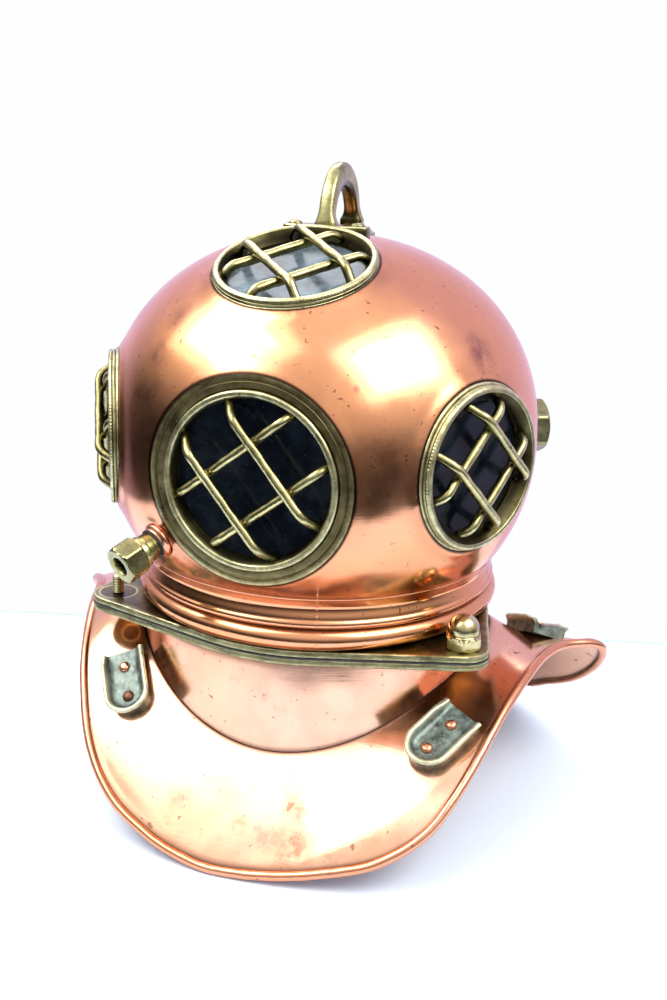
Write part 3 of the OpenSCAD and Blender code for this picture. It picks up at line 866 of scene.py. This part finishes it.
def bezel_mesh(w, place, front):
    """Ring that holds the glass, bevelled from its bright ridge down to the opening, with painted shade on
    the inner bevel.
    """
    low = -w["depth"] + LEDGE_T + SEAL_T + GLASS_T
    o, t = w["opening"], w["thread"]
    # A negative last value is painted shade on the inner bevel towards the glass.
    if front:
        line = [(o, low), (t - 0.15, low), (t - 0.15, 0.3, 0.2), (t - 0.3, 1.5, 0.3, 0.6),
                (t - 1.2, 2.5, 0.6, 1.0), (t - 3.8, 2.5, 0.7, 1.0), (t - 4.9, 1.1, 0.5, 0.4),
                (o + 0.4, low + 3.0, 0.6, -0.8), (o, low + 2, 0.4, -0.6)]
    else:
        b = t + 4
        line = [(o, low), (t, low), (t, 0.1), (b, 0.1, 0.3), (b, 1.9, 0.3, 0.7), (b - 0.7, 2.2, 0.1),
                (b - 0.7, 2.7, 0.1), (b, 3.0, 0.3, 0.8), (b - 0.6, 4.4, 0.4, 0.9), (b - 1.6, 5, 0.5, 1.0),
                (b - 3.8, 5, 0.5, 0.5), (b - 4.6, 3.9, 0.4, -0.6), (o + 1.8, low + 4.6, 1.0, -1.0),
                (o, low + 2, 0.5, -0.8)]

    def knurl(a, x, y):
        return 0.22 * sin(a * 150) if not front and x > t + 3.5 and 3.0 <= y <= 4.4 else 0.0

    return lathe("bezel", fillet(line), place, segments=480 if not front else 240, wobble=0.12, ripple=knurl)


def glass_mesh(w, place):
    """Pane with ground edges."""
    low = -w["depth"] + LEDGE_T + SEAL_T
    r = w["glass"] - 0.2
    line = [(0, low, 0), (r * 0.5, low, 0), (r - 0.5, low, 0), (r, low + 0.5, 0), (r, low + GLASS_T - 0.6, 0),
            (r - 0.6, low + GLASS_T, 0), (r * 0.75, low + GLASS_T, 0), (r * 0.5, low + GLASS_T, 0),
            (r * 0.25, low + GLASS_T, 0), (0, low + GLASS_T, 0)]
    return solid_turn("glass", line, place, segments=96, sharp=30)


def rod_mesh(half, height, foot, turn, offset, place, seed):
    """Hand-forged rod across a window, with its ends bent down to feet inside the bezel."""
    slope = radians(50)
    straight = half - (height - foot) / tan(slope)
    out, down = half + 1.2 * cos(slope), foot - 1.2 * sin(slope)
    corners = [Vector(c) for c in ((-out, down), (-straight, height), (straight, height), (out, down))]
    line = [corners[0]]
    for before, here, after in zip(corners, corners[1:], corners[2:]):
        start = here + (before - here).normalized() * 5
        end = here + (after - here).normalized() * 5
        line += blend(start, here, end, 8)
    line.append(corners[3])
    fine = []
    for a, b in zip(line, line[1:]):
        count = max(1, round((b - a).length / 2.2))
        fine += [a + (b - a) * k / count for k in range(count)]
    fine.append(line[-1])
    path = []
    for p in fine:
        sway = 0.35 * noise.noise(Vector((p.x * 0.05, seed, 0)))
        rise = 0.2 * noise.noise(Vector((p.x * 0.07, seed, 9)))
        path.append(turned(turn) @ Vector((p.x, offset + sway, p.y + rise)))
    rings = swept_rings(path, ROD_R + 0.05, 20, rough=0.30)
    wear = [max(0.0, min(1.0, (q.z - p.z) / ROD_R)) ** 2 * 0.9 for ring, p in zip(rings, path) for q in ring]
    return tube_mesh("rod", [[place @ q for q in ring] for ring in rings], None, wear)


# Reach of the rods' feet, height of the lower pair, turn of the upper and lower pair, foot height.
GRILLES = {"front": (50.0, 3, -51, 38, -4), "left": (43.3, 6, -45, 45, 0), "right": (43.3, 6, -45, 45, 0),
           "top": (44.8, 4.5, -45, 45, 0)}

for name, (w, place) in WINDOWS.items():
    front = name == "front"
    reach, height, falls, rises, foot = GRILLES[name]
    half = sqrt(reach ** 2 - ROD_OFFSET ** 2)
    rods = []
    for s in (-1, 1):
        rods.append(rod_mesh(half, height, foot, rises, s * ROD_OFFSET, place, s + height))
        rods.append(rod_mesh(half, height + 2 * ROD_R - 0.4, foot, falls, s * ROD_OFFSET, place, s + 7))
    face_body, pane_body = ("front_faceplate", "front_pane") if front else ("bonnet", "bonnet")
    add_piece(name + "_ring", [ring_mesh(w, place, front)], "bonnet", ring_brass if front else brass,
              [name + "_base_ring"])
    add_piece(name + "_face", [bezel_mesh(w, place, front)], face_body, brass, [name + "_bezel"])
    add_piece(name + "_rods", rods, face_body, rod_brass, [name + "_grille"])
    add_piece(name + "_pane", [glass_mesh(w, place)], pane_body, pale_glass if name == "top" else dark_glass,
              [name + "_glass"])

# ---- handle

HANDLE_Y = 25.5
ARCH_INNER = (23, 23.5)  # reach to the front and height
ARCH_OUTER = (33, 40)
FRONT_FOOT = DOME_Z + DOME_TOP + 4.6
REAR_FOOT = FRONT_FOOT - 8


def rounded_square(t, power):
    """Point at an angle of an outline between a circle and a square, squarer with a lower power."""
    c, s = cos(t), sin(t)
    return copysign(abs(c) ** power, c), copysign(abs(s) ** power, s)


def handle_arch():
    """Cast arch, thicker at its crown, with rounded sides that spread into the feet, rubbed on top and
    painted shade underneath.
    """
    rings = []
    sides, steps = 28, 48
    for j in range(steps + 1):
        a = radians(180 * j / steps)
        inner, outer = (Vector((0, HANDLE_Y + run * cos(a), FRONT_FOOT + height * sin(a)))
                        for run, height in (ARCH_INNER, ARCH_OUTER))
        middle, reach = (inner + outer) / 2, (outer - inner) / 2
        low = max(0.0, 1 - sin(a) * 3.2) ** 2
        width = 5.25 + 3.0 * low
        ring = []
        for t in turns(sides):
            c, s = rounded_square(t, 0.62)
            dent = 1 + 0.012 * noise.noise(Vector((c * 2, s * 2, j * 0.3)))
            ring.append(middle + reach * c * dent * (1 + 0.25 * low) + Vector((s * width * dent, 0, 0)))
        rings.append(ring)
    shift = up(REAR_FOOT - FRONT_FOOT - 1)
    rings = [[p + shift for p in rings[0]]] + rings + [[p - Vector((0, 0, 1)) for p in rings[-1]]]
    # Rubbed wear on the top and outer sides; painted shade on the underside that faces the dome.
    ring_wear = [0.45 if cos(t) > -0.3 else -0.75 for t in turns(sides)]
    return tube_mesh("arch", rings, None, ring_wear * len(rings))


def foot_bar(half, y, top):
    """Rounded bar across the handle, with its underside cut to the dome."""
    depth, sides = 15, 72
    levels = [(-3.0, 0.0, 0.0), (-0.9, 0.0, 0.2), (-0.3, 0.25, 1.0), (0.0, 0.9, 1.0), (0.0, 2.2, 0.3),
              (0.0, 5.0, 0.1)]
    rings, wear = [], []
    for drop, inset, mark in [(None, 0.0, 0.0)] + levels:
        ring = []
        for t in turns(sides):
            c, s = rounded_square(t, 0.36)
            x = c * (half - inset)
            py = y + s * (depth / 2 - inset)
            share = min(1.0, (hypot(x, py) / DOME_R) ** DOME_POWER)
            surface = DOME_Z + DOME_TOP * (1 - share) ** (1 / DOME_POWER)
            z = surface - 1.2 if drop is None else top + drop
            ring.append(Vector((x, py, z + 0.12 * noise.noise(Vector((x, py, 3)) / 8))))
            wear.append(mark)
        rings.append(ring)
    return tube_mesh("foot", rings, 45, wear)


add_piece("handle_cast", [handle_arch(), foot_bar(29.5, HANDLE_Y - 28, FRONT_FOOT),
                          foot_bar(16, HANDLE_Y + 29, REAR_FOOT)], "bonnet", rod_brass,
          ["lifting_handle"])


def slotted_head(x, y, z, turn):
    """Raised screw head with a slot across it."""
    place = Matrix.Translation((x, y, z)) @ turned(turn)

    def cut(px, py, h):
        return h - 0.9 * smooth_step((0.85 - abs(py)) / 0.3) if h > 0.5 else h

    line = [(0, -3, 0), (3, -3, 0), (4.4, -0.3, 0), (4.6, 0.3, 0.6)]
    line += [(4.5 - 4.3 * k / 12, 0.35 + 2.0 * sqrt(1 - ((4.5 - 4.3 * k / 12) / 4.6) ** 2), 0.5)
             for k in range(13)]
    line += [(0, 2.35, 0.5)]
    return solid_turn("screw", line, place, segments=72, height=cut)


add_piece("handle_screw_heads", [
    slotted_head(-22, HANDLE_Y - 28, FRONT_FOOT, 25), slotted_head(22, HANDLE_Y - 28, FRONT_FOOT, 70),
    slotted_head(-10.5, HANDLE_Y + 29, REAR_FOOT, 110), slotted_head(10.5, HANDLE_Y + 29, REAR_FOOT, 150),
], "bonnet", brass, ["handle_screws"])

# ---- fittings


def hex_piece(name, radius, low, high, bore, place, sunk=0.0):
    """Chamfered hexagon with an open mouth, or a solid one where bore is zero."""
    rings = hex_rings(radius, low, high, place)
    if bore:
        mouth = [(bore + 1.0, high), (bore + 0.3, high - 0.3), (bore, high - 0.9), (bore, high - 4),
                 (PIPE_R + 0.1, high - 4), (PIPE_R + 0.1, low)]
        rings += [circle(place, r, z, HEX_SIDES) for r, z in mouth]
        return new_mesh(name, sum(rings, []), ring_faces(len(rings), HEX_SIDES, True), 32,
                        wear=[0.3] * (HEX_SIDES * len(rings)))
    flat = radius * cos(pi / 6)
    face = [(flat - 1.6, high + 0.02), (flat - 2.2, high + 0.9), (flat - 3.2, high + 1.0),
            (flat * 0.4, high + 1.0 - sunk)]
    rings += [circle(place, r, z, HEX_SIDES) for r, z in face]
    return tube_mesh(name, rings, 32, [0.3] * (HEX_SIDES * len(rings)), (0.3, 0.3))


INLET_BORE = 6.3
PIPE_R = 8.5
socket = fillet([(PIPE_R, 140), (11, 144), (11, 150, 0.4), (12.2, 150.6, 0.5), (12.0, 152.0, 0.6),
                 (10.2, 153.6, 0.6), (10, 154.5, 0.3), (PIPE_R, 154.5)])
add_piece("inlet_stub", [lathe("socket", socket, AT_INLET, 96)], "bonnet", bead_copper, ["inlet_socket"])
tube = fillet([(INLET_BORE, 144), (PIPE_R, 144), (PIPE_R, 158), (9.3, 158.6, 0.2), (9.3, 162.4, 0.2),
               (8.7, 163.4, 0.2), (10.4, 163.5, 0.4, 0.9), (10.4, 167.0, 0.4, 0.9), (PIPE_R, 167.1),
               (PIPE_R, 178.2), (INLET_BORE, 178.2)])
add_piece("inlet_pipe", [lathe("tube", tube, AT_INLET, 96)], "bonnet", rod_brass, ["inlet_tube"])
add_piece("inlet_hex", [hex_piece("hex", 13.5, 167.5, 182.5, INLET_BORE, AT_INLET @ turned(12))], "union_nut",
          rod_brass, ["inlet_nut"])
rear_ring = fillet([(9.1, 142), (13, 142), (13, 150.6, 0.7, 0.8), (12.2, 151.4, 0.4, 0.8), (9.1, 151.4)])
add_piece("rear_boss", [lathe("boss", rear_ring, AT_REAR, 96)], "bonnet", brass, ["rear_socket"])
stem = [(0, 144, 0), (9, 144, 0), (9, 152.2, 0), (0, 152.2, 0)]
add_piece("rear_cap_hex", [hex_piece("cap", 20, 151.8, 162.8, 0, AT_REAR, 0.3),
                           solid_turn("stem", stem, AT_REAR)], "rear_cap", brass,
          ["rear_hex_cap"])

# ---- corselet


def ramp(t):
    """Zero below zero, then a curve that ends up rising one for one."""
    return 0.0 if t <= 0 else t * t / (t + 15)


def apron_z(x, y):
    """Height of the middle of the apron's sheet, as beaten: a saddle with uneven shoulders."""
    turn = radians(NECK_TWIST * max(0.0, min(1.0, 1 - (hypot(x, y) - SEAM_R) / 50)))
    along = y * cos(turn) - x * sin(turn)
    rise = 1 - (along / REACH) ** 2
    low = 10.5 * smooth_step((x - 100) / 40) * rise * rise
    droop = 0.36 * ramp(-x - 135)
    curl = (1.6 * ramp(x - 85) if x > 0 else 1.3 * ramp(-x - 105)) * ramp(y - 30) / 150
    return BEAD_R + (RIDGE_Z - BEAD_R) * rise - low - droop - curl


# Plan of the apron's edge, from the front centre towards +X and round.
RIM_POINTS = [
    (0, -REACH), (36, -176.5), (70, -171), (100, -163), (124, -148), (138, -126), (147, -101),
    (154, -72), (162, -40), (170, -7), (180, 16), (194, 29), (204, 40), (201, 56), (186, 76),
    (161, 100), (140, 124), (104, 153), (60, 172), (0, REACH),
    (-68, 170), (-120, 145), (-158, 118), (-182, 96), (-201, 64), (-204, 40), (-190, 18),
    (-174, -8), (-162, -40), (-148, -76), (-133, -108), (-112, -139), (-85, -160), (-52, -172),
    (-24, -177.5),
]


def smooth_loop(points, steps):
    """Smooth closed curve through the points."""
    line = []
    n = len(points)
    for i in range(n):
        p0, p1, p2, p3 = (Vector(points[(i + k) % n]) for k in (-1, 0, 1, 2))
        for k in range(steps):
            t = k / steps
            line.append(0.5 * (2 * p1 + (p2 - p0) * t + (2 * p0 - 5 * p1 + 4 * p2 - p3) * t * t
                               + (3 * p1 - 3 * p2 + p3 - p0) * t ** 3))
    return line


RIM = smooth_loop(RIM_POINTS, 12)


def sheet_normal(x, y):
    dx = (apron_z(x + 1, y) - apron_z(x - 1, y)) / 2
    dy = (apron_z(x, y + 1) - apron_z(x, y - 1)) / 2
    return Vector((-dx, -dy, 1)).normalized()


def rim_sheet(name, rows, section):
    """Sheet round the neck. section(p, t) gives its outer point, inner point and painted shade at a share t.
    """
    outer, inner, grime = [], [], []
    for j in range(rows + 1):
        cells = [section(p, j / rows) for p in RIM]
        outer.append([cell[0] for cell in cells])
        inner.append([cell[1] for cell in cells])
        grime += [cell[2] for cell in cells]
    return skin(name, outer, inner, lambda j, i: True, True, 60, grime=grime)


def apron_section(p, t):
    """The beaten saddle from the neck (t = 0) to the rim, with painted shade at both."""
    reach = p.length - SEAM_R
    q = p * (SEAM_R / p.length) * (1 - t) + p * t
    z = apron_z(q.x, q.y)
    flat = min(1.0, (1 - t) * 6, t * 8 + 0.15)
    z += flat * (0.45 * noise.noise(Vector((q.x, q.y, z)) / 45) + 0.05 * noise.noise(q.to_3d() / 13))
    half = sheet_normal(q.x, q.y) * (SHEET / 2)
    middle = Vector((q.x, q.y, z))
    # Painted shade next to the bead at the rim and along the neck seam.
    grime = max(exp(-(max(0.0, (1 - t) * reach - 2.6) / 0.9)), 0.9 * exp(-reach * t / 1.5))
    return middle + half, middle - half, grime


def bowl_section(p, t):
    """The bowl springs from the saddle (t = 0) and closes up to the lower plate."""
    base = p * (SEAM_R / p.length)
    low = apron_z(base.x, base.y) - 0.6
    z = low + (FLANGE_LOW - low) * t
    r = SEAM_R - 4 * t ** 0.8 + 0.25 * noise.noise(base.to_3d() / 20 + up(z / 20))
    # Painted shade where the bowl springs from the apron and under the lower plate.
    grime = max(exp(-(z - low) / 1.4), 0.6 * exp(-(FLANGE_LOW - z) / 2.0))
    outer, inner = (base / SEAM_R * side for side in (r, r - SHEET))
    return outer.to_3d() + up(z), inner.to_3d() + up(z), grime


def make_bead():
    """Wired edge rolled round the apron's rim, slightly uneven."""
    path = [Vector((p.x, p.y, apron_z(p.x, p.y))) for p in RIM]
    rings = swept_rings(path, BEAD_R - 0.12, 18, closed=True, rough=0.22)
    grime = []
    for ring, p in zip(rings, path):
        inward = -p.to_2d().normalized()
        # Painted shade on the bead's inner side, where it meets the sheet.
        grime += [max(0.0, ((q - p).to_2d().dot(inward) / BEAD_R - 0.75) * 3) for q in ring]
    return new_mesh("bead", sum(rings, []), ring_faces(len(rings), 18, True), None, grime=grime)


add_piece("apron_sheet", [rim_sheet("apron", 34, apron_section)], "corselet", apron_copper,
          ["corselet_apron"])
add_piece("neck_bowl", [rim_sheet("bowl", 12, bowl_section)], "corselet", apron_copper, ["corselet_neck"])
add_piece("rim_bead", [make_bead()], "corselet", bead_copper, ["apron_rim_bead"])

# ---- brackets

BRACKET_W = 32
BRACKET_L = 49
FLOOR = 4
RIVET_GAP = 23
STRAIGHT_STEPS = 22  # points along each straight side of the wall
ARC_STEPS = 40  # and round its closed end
OPEN_END = 13  # length over which the wall gets lower and slimmer
FLOOR_INSET = 7.4
FLOOR_CELLS = 10

# Each spot: x, y and turn of the closed end.
SPOTS = {"front_right": (118, -100, -28), "front_left": (-98, -109, 27), "rear_right": (152, 39, -142),
         "rear_left": (-143, 40, 144)}


def on_sheet(spot):
    """Stands local +Z square to the apron at a spot."""
    x, y, turn = spot
    normal = sheet_normal(x, y)
    lean = acos(normal.z)
    face = atan2(normal.x, -normal.y)
    place = Matrix.Translation((x, y, apron_z(x, y) + SHEET / 2))
    place = place @ Matrix.Rotation(face, 4, "Z") @ Matrix.Rotation(lean, 4, "X")
    return place @ Matrix.Rotation(radians(turn) - face, 4, "Z")


def bracket_path():
    """Footprint of the wall from one open end round the closed end to the other, with outward normals."""
    r = BRACKET_W / 2
    centre = Vector((0, -BRACKET_L / 2 + r))
    line = [(Vector((r, BRACKET_L / 2 - k * 1.5)), Vector((1, 0))) for k in range(STRAIGHT_STEPS)]
    for k in range(1, ARC_STEPS):
        a = -pi * k / ARC_STEPS
        out = Vector((cos(a), sin(a)))
        line.append((centre + out * r, out))
    line += [(Vector((-p.x, p.y)), Vector((-1, 0))) for p, _ in reversed(line[:STRAIGHT_STEPS])]
    return line


# Wall section from its outer foot over the flared lip to the floor: offset inwards, height, wear.
WALL = [(2.6, -3.0, 0), (2.5, 0.5, 0), (2.4, 3.2, 0), (1.6, 5.4, 0.1), (0.5, 6.7, 0.5), (0.1, 7.6, 0.9),
        (0.3, 8.6, 1.0), (1.0, 9.3, 1.0), (2.0, 9.5, 1.0), (3.0, 9.1, 0.9), (3.9, 8.0, 0.5), (4.6, 6.6, 0.1),
        (5.3, 5.2, 0), (6.4, 4.3, 0), (8.0, FLOOR, 0), (8.0, -3.0, 0)]


def bracket_mesh(spot, seed):
    """Cast U with a flared lip, lower and slimmer at its open end, and the floor inside it."""
    place = on_sheet(spot)
    path = bracket_path()
    rings, wear = [], []
    for base, out in path:
        near_end = smooth_step((base.y - BRACKET_L / 2 + OPEN_END) / OPEN_END)
        ring = []
        for inset, height, mark in WALL:
            tall = FLOOR + (height - FLOOR) * (1 - 0.42 * near_end) if height > FLOOR else height
            p = base - out * (inset + 0.5 * near_end * (1 if inset < 4 else 0))
            bump = 0.22 * noise.noise(Vector((p.x, p.y, height + seed)) / 5)
            ring.append(place @ Vector((p.x + out.x * bump, p.y + out.y * bump, tall + 0.6 * bump)))
            wear.append(mark)
        rings.append(ring)
    wall = tube_mesh("wall", rings, 50, wear, (0.2, 0.2))

    top, low = [], []
    for base, out in path[:STRAIGHT_STEPS + ARC_STEPS // 2]:
        edge = base - out * FLOOR_INSET
        row = [Vector((edge.x * (1 - 2 * k / FLOOR_CELLS), edge.y, 0)) for k in range(FLOOR_CELLS + 1)]
        rough = [0.25 * noise.noise(p / 6 + Vector((seed, 0, 0))) - 0.1 for p in row]
        top.append([place @ (p + up(FLOOR + bump)) for p, bump in zip(row, rough)])
        low.append([place @ (p + up(-3)) for p in row])
    wear = [0.0] * (len(top) * len(row))
    return [wall, skin("floor", top, low, lambda j, i: True, False, 50, wear=wear)]


def rivet_mesh(spot, y, tarnish):
    """Domed rivet head with a small flat from the hammer."""
    place = on_sheet(spot) @ Matrix.Translation((0, y + 1, FLOOR - 0.2))
    flat = 2.75
    line = [(0, -3, 0), (3.2, -3, 0)]
    line += [(x * 4.0, min(flat, y * 3.0), 0) for x, y, _ in arc(0, 0, 1, 2, 86, 10)]
    mesh = solid_turn("rivet", line + [(0, flat, 0)], place, segments=32)
    add_mark(mesh, "grime", [tarnish] * len(mesh.vertices))
    return mesh


rivets = []
for seed, (name, spot) in enumerate(SPOTS.items()):
    add_piece("channel_" + name, bracket_mesh(spot, seed * 7.3), "corselet", patina,
              ["bracket_" + name])
    rivets.append(rivet_mesh(spot, RIVET_GAP / 2, 0.0))
    rivets.append(rivet_mesh(spot, -RIVET_GAP / 2, 0.85 if name == "front_left" else 0.0))
add_piece("rivets", rivets, "corselet", bead_copper, ["bracket_rivets"])

for node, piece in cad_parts.items():
    if node.endswith("gasket") or node == "inlet_seal_ring":
        piece.data.materials.clear()
        piece.data.materials.append(rubber)

# ---- camera, floor and light


def direction(azimuth, rise):
    """Unit vector: degrees from the front towards +X, then upwards."""
    a, e = radians(azimuth), radians(rise)
    return Vector((sin(a) * cos(e), -cos(a) * cos(e), sin(e)))


# Camera fitted to the photo: degrees, metres and millimetres of lens.
CAMERA_AZIMUTH = 18.571
CAMERA_RISE = 13.857
CAMERA_ROLL = 1.649
CAMERA_PAN = 0.542
CAMERA_TILT = -3.381
CAMERA_DISTANCE = 0.85065
CAMERA_LENS = 43.459


def swing(first, second, angle):
    """Two square axes turned together, the first towards the second."""
    c, s = cos(radians(angle)), sin(radians(angle))
    return first * c + second * s, second * c - first * s


def place_camera():
    """Camera to the right of the front, a little above, turned and leaned by its own small angles."""
    back = direction(CAMERA_AZIMUTH, CAMERA_RISE)
    side = (-back).cross(Vector((0, 0, 1))).normalized()
    above = side.cross(-back)
    eye = up(DOME_Z * MM) + back * CAMERA_DISTANCE
    side, above = swing(side, above, CAMERA_ROLL)
    side, back = swing(side, back, CAMERA_PAN)
    above, back = swing(above, back, CAMERA_TILT)
    camera = put("camera", bpy.data.cameras.new("camera"))
    camera.data.lens = CAMERA_LENS
    camera.data.clip_start = 0.01
    camera.matrix_world = Matrix.Translation(eye) @ Matrix((side, above, back)).transposed().to_4x4()
    bpy.context.scene.camera = camera


TABLE_TURN = 15.3
TABLE_FRONT = -0.46  # metres, before the turn
TABLE_BACK = 0.226
TABLE_EDGE = 0.004


def table_strip(name, front, back, material):
    """Strip of the table's plane, a metre long."""
    mesh = bpy.data.meshes.new(name)
    corners = ((-0.5, front, 0), (0.5, front, 0), (0.5, back, 0), (-0.5, back, 0))
    mesh.from_pydata([turned(TABLE_TURN) @ Vector(c) for c in corners], [], [(0, 1, 2, 3)])
    mesh.materials.append(material)
    strip = put(name, mesh)


def make_table():
    """White top, turned a little, that ends in a bluish edge close behind the helmet."""
    p = Paint("table_white", 0.0)
    p.colour = p.mix(p.noise(6, 3), (0.80, 0.81, 0.82), (0.83, 0.84, 0.85))
    table_strip("table_top", TABLE_FRONT, TABLE_BACK, p.finish(0.55, [(p.noise(40, 2), 0.05, 0.0005)]))
    p = Paint("table_edge", 0.0)
    p.colour = p.mix(p.noise(30, 3), (0.34, 0.50, 0.58), (0.46, 0.62, 0.70))
    table_strip("table_edge", TABLE_BACK, TABLE_BACK + TABLE_EDGE, p.finish(0.6, []))


# Brightness of the room on each side: degrees above the horizon and level.
SKY_LEFT = ((-90, 0.95), (-36, 0.04), (-10, 0.02), (5, 0.05), (14, 0.22), (26, 0.56), (60, 0.68), (90, 0.78))
SKY_RIGHT = ((-90, 0.95), (-36, 0.04), (-10, 0.07), (4, 0.20), (14, 0.46), (28, 0.60), (60, 0.66), (90, 0.78))


def sky(nodes, height, bands):
    """Colour ramp of a room's brightness over the sine of the height, spread to 0..1."""
    stops = nodes.add("ValToRGB", {"Fac": height})
    points = stops.color_ramp.elements
    while len(points) < len(bands):
        points.new(0.5)
    for point, (rise, level) in zip(points, bands):
        point.position = (sin(radians(rise)) + 1) / 2
        point.color = (level, level * 0.98, level * 0.96, 1)
    return stops.outputs["Color"]


def make_world():
    """White to the camera, blue to matt faces. Metal sees a pale ceiling, dark front and bright back."""
    world = bpy.data.worlds.new("studio")
    world.use_nodes = True
    bpy.context.scene.world = world
    n = Nodes(world.node_tree)
    n.tree.nodes.clear()
    way = n.add("SeparateXYZ", {0: n.add("TexCoord").outputs["Generated"]}).outputs
    height = n.spread(way["Z"], -1.0, 1.0)
    sides = [sky(n, height, bands) for bands in (SKY_LEFT, SKY_RIGHT)]
    front = n.mix(n.spread(way["X"], -0.6, 0.8), *sides)
    room = n.mix(n.spread(way["Y"], 0.1, 0.6), front, (0.50, 0.45, 0.66))
    rays = n.add("LightPath").outputs
    seen = n.mix(rays["Is Diffuse Ray"], room, (0.44, 0.58, 0.81))
    lit = n.add("Background", {"Color": seen, "Strength": 1.85})
    plain = n.add("Background", {"Color": (0.985, 0.99, 0.99, 1)})
    choice = n.add("MixShader", {0: rays["Is Camera Ray"], 1: lit.outputs[0], 2: plain.outputs[0]})
    n.add("OutputWorld", {0: choice.outputs[0]})


def soft_box(name, azimuth, rise, distance, width, height, watts):
    """Area light that faces the helmet from a direction."""
    back = direction(azimuth, rise)
    data = bpy.data.lights.new(name, "AREA")
    data.shape = "RECTANGLE"
    data.size, data.size_y, data.energy = width, height, watts
    lamp = put(name, data)
    place = Matrix.Translation(up(DOME_Z * MM) + back * distance)
    lamp.matrix_world = place @ back.to_track_quat("Z", "Y").to_matrix().to_4x4()


place_camera()
make_table()
make_world()
soft_box("left_box", -57, 50, 1.6, 1.25, 0.75, 13)
soft_box("left_glow", -57, 51, 1.6, 1.8, 1.2, 14)
soft_box("right_box", 69, 46, 1.6, 1.0, 0.7, 11)
soft_box("right_glow", 69, 47, 1.6, 1.5, 1.1, 13)
soft_box("rear_box", -145, 50, 1.8, 1.3, 0.8, 12)
bpy.context.scene.view_settings.view_transform = "Standard"
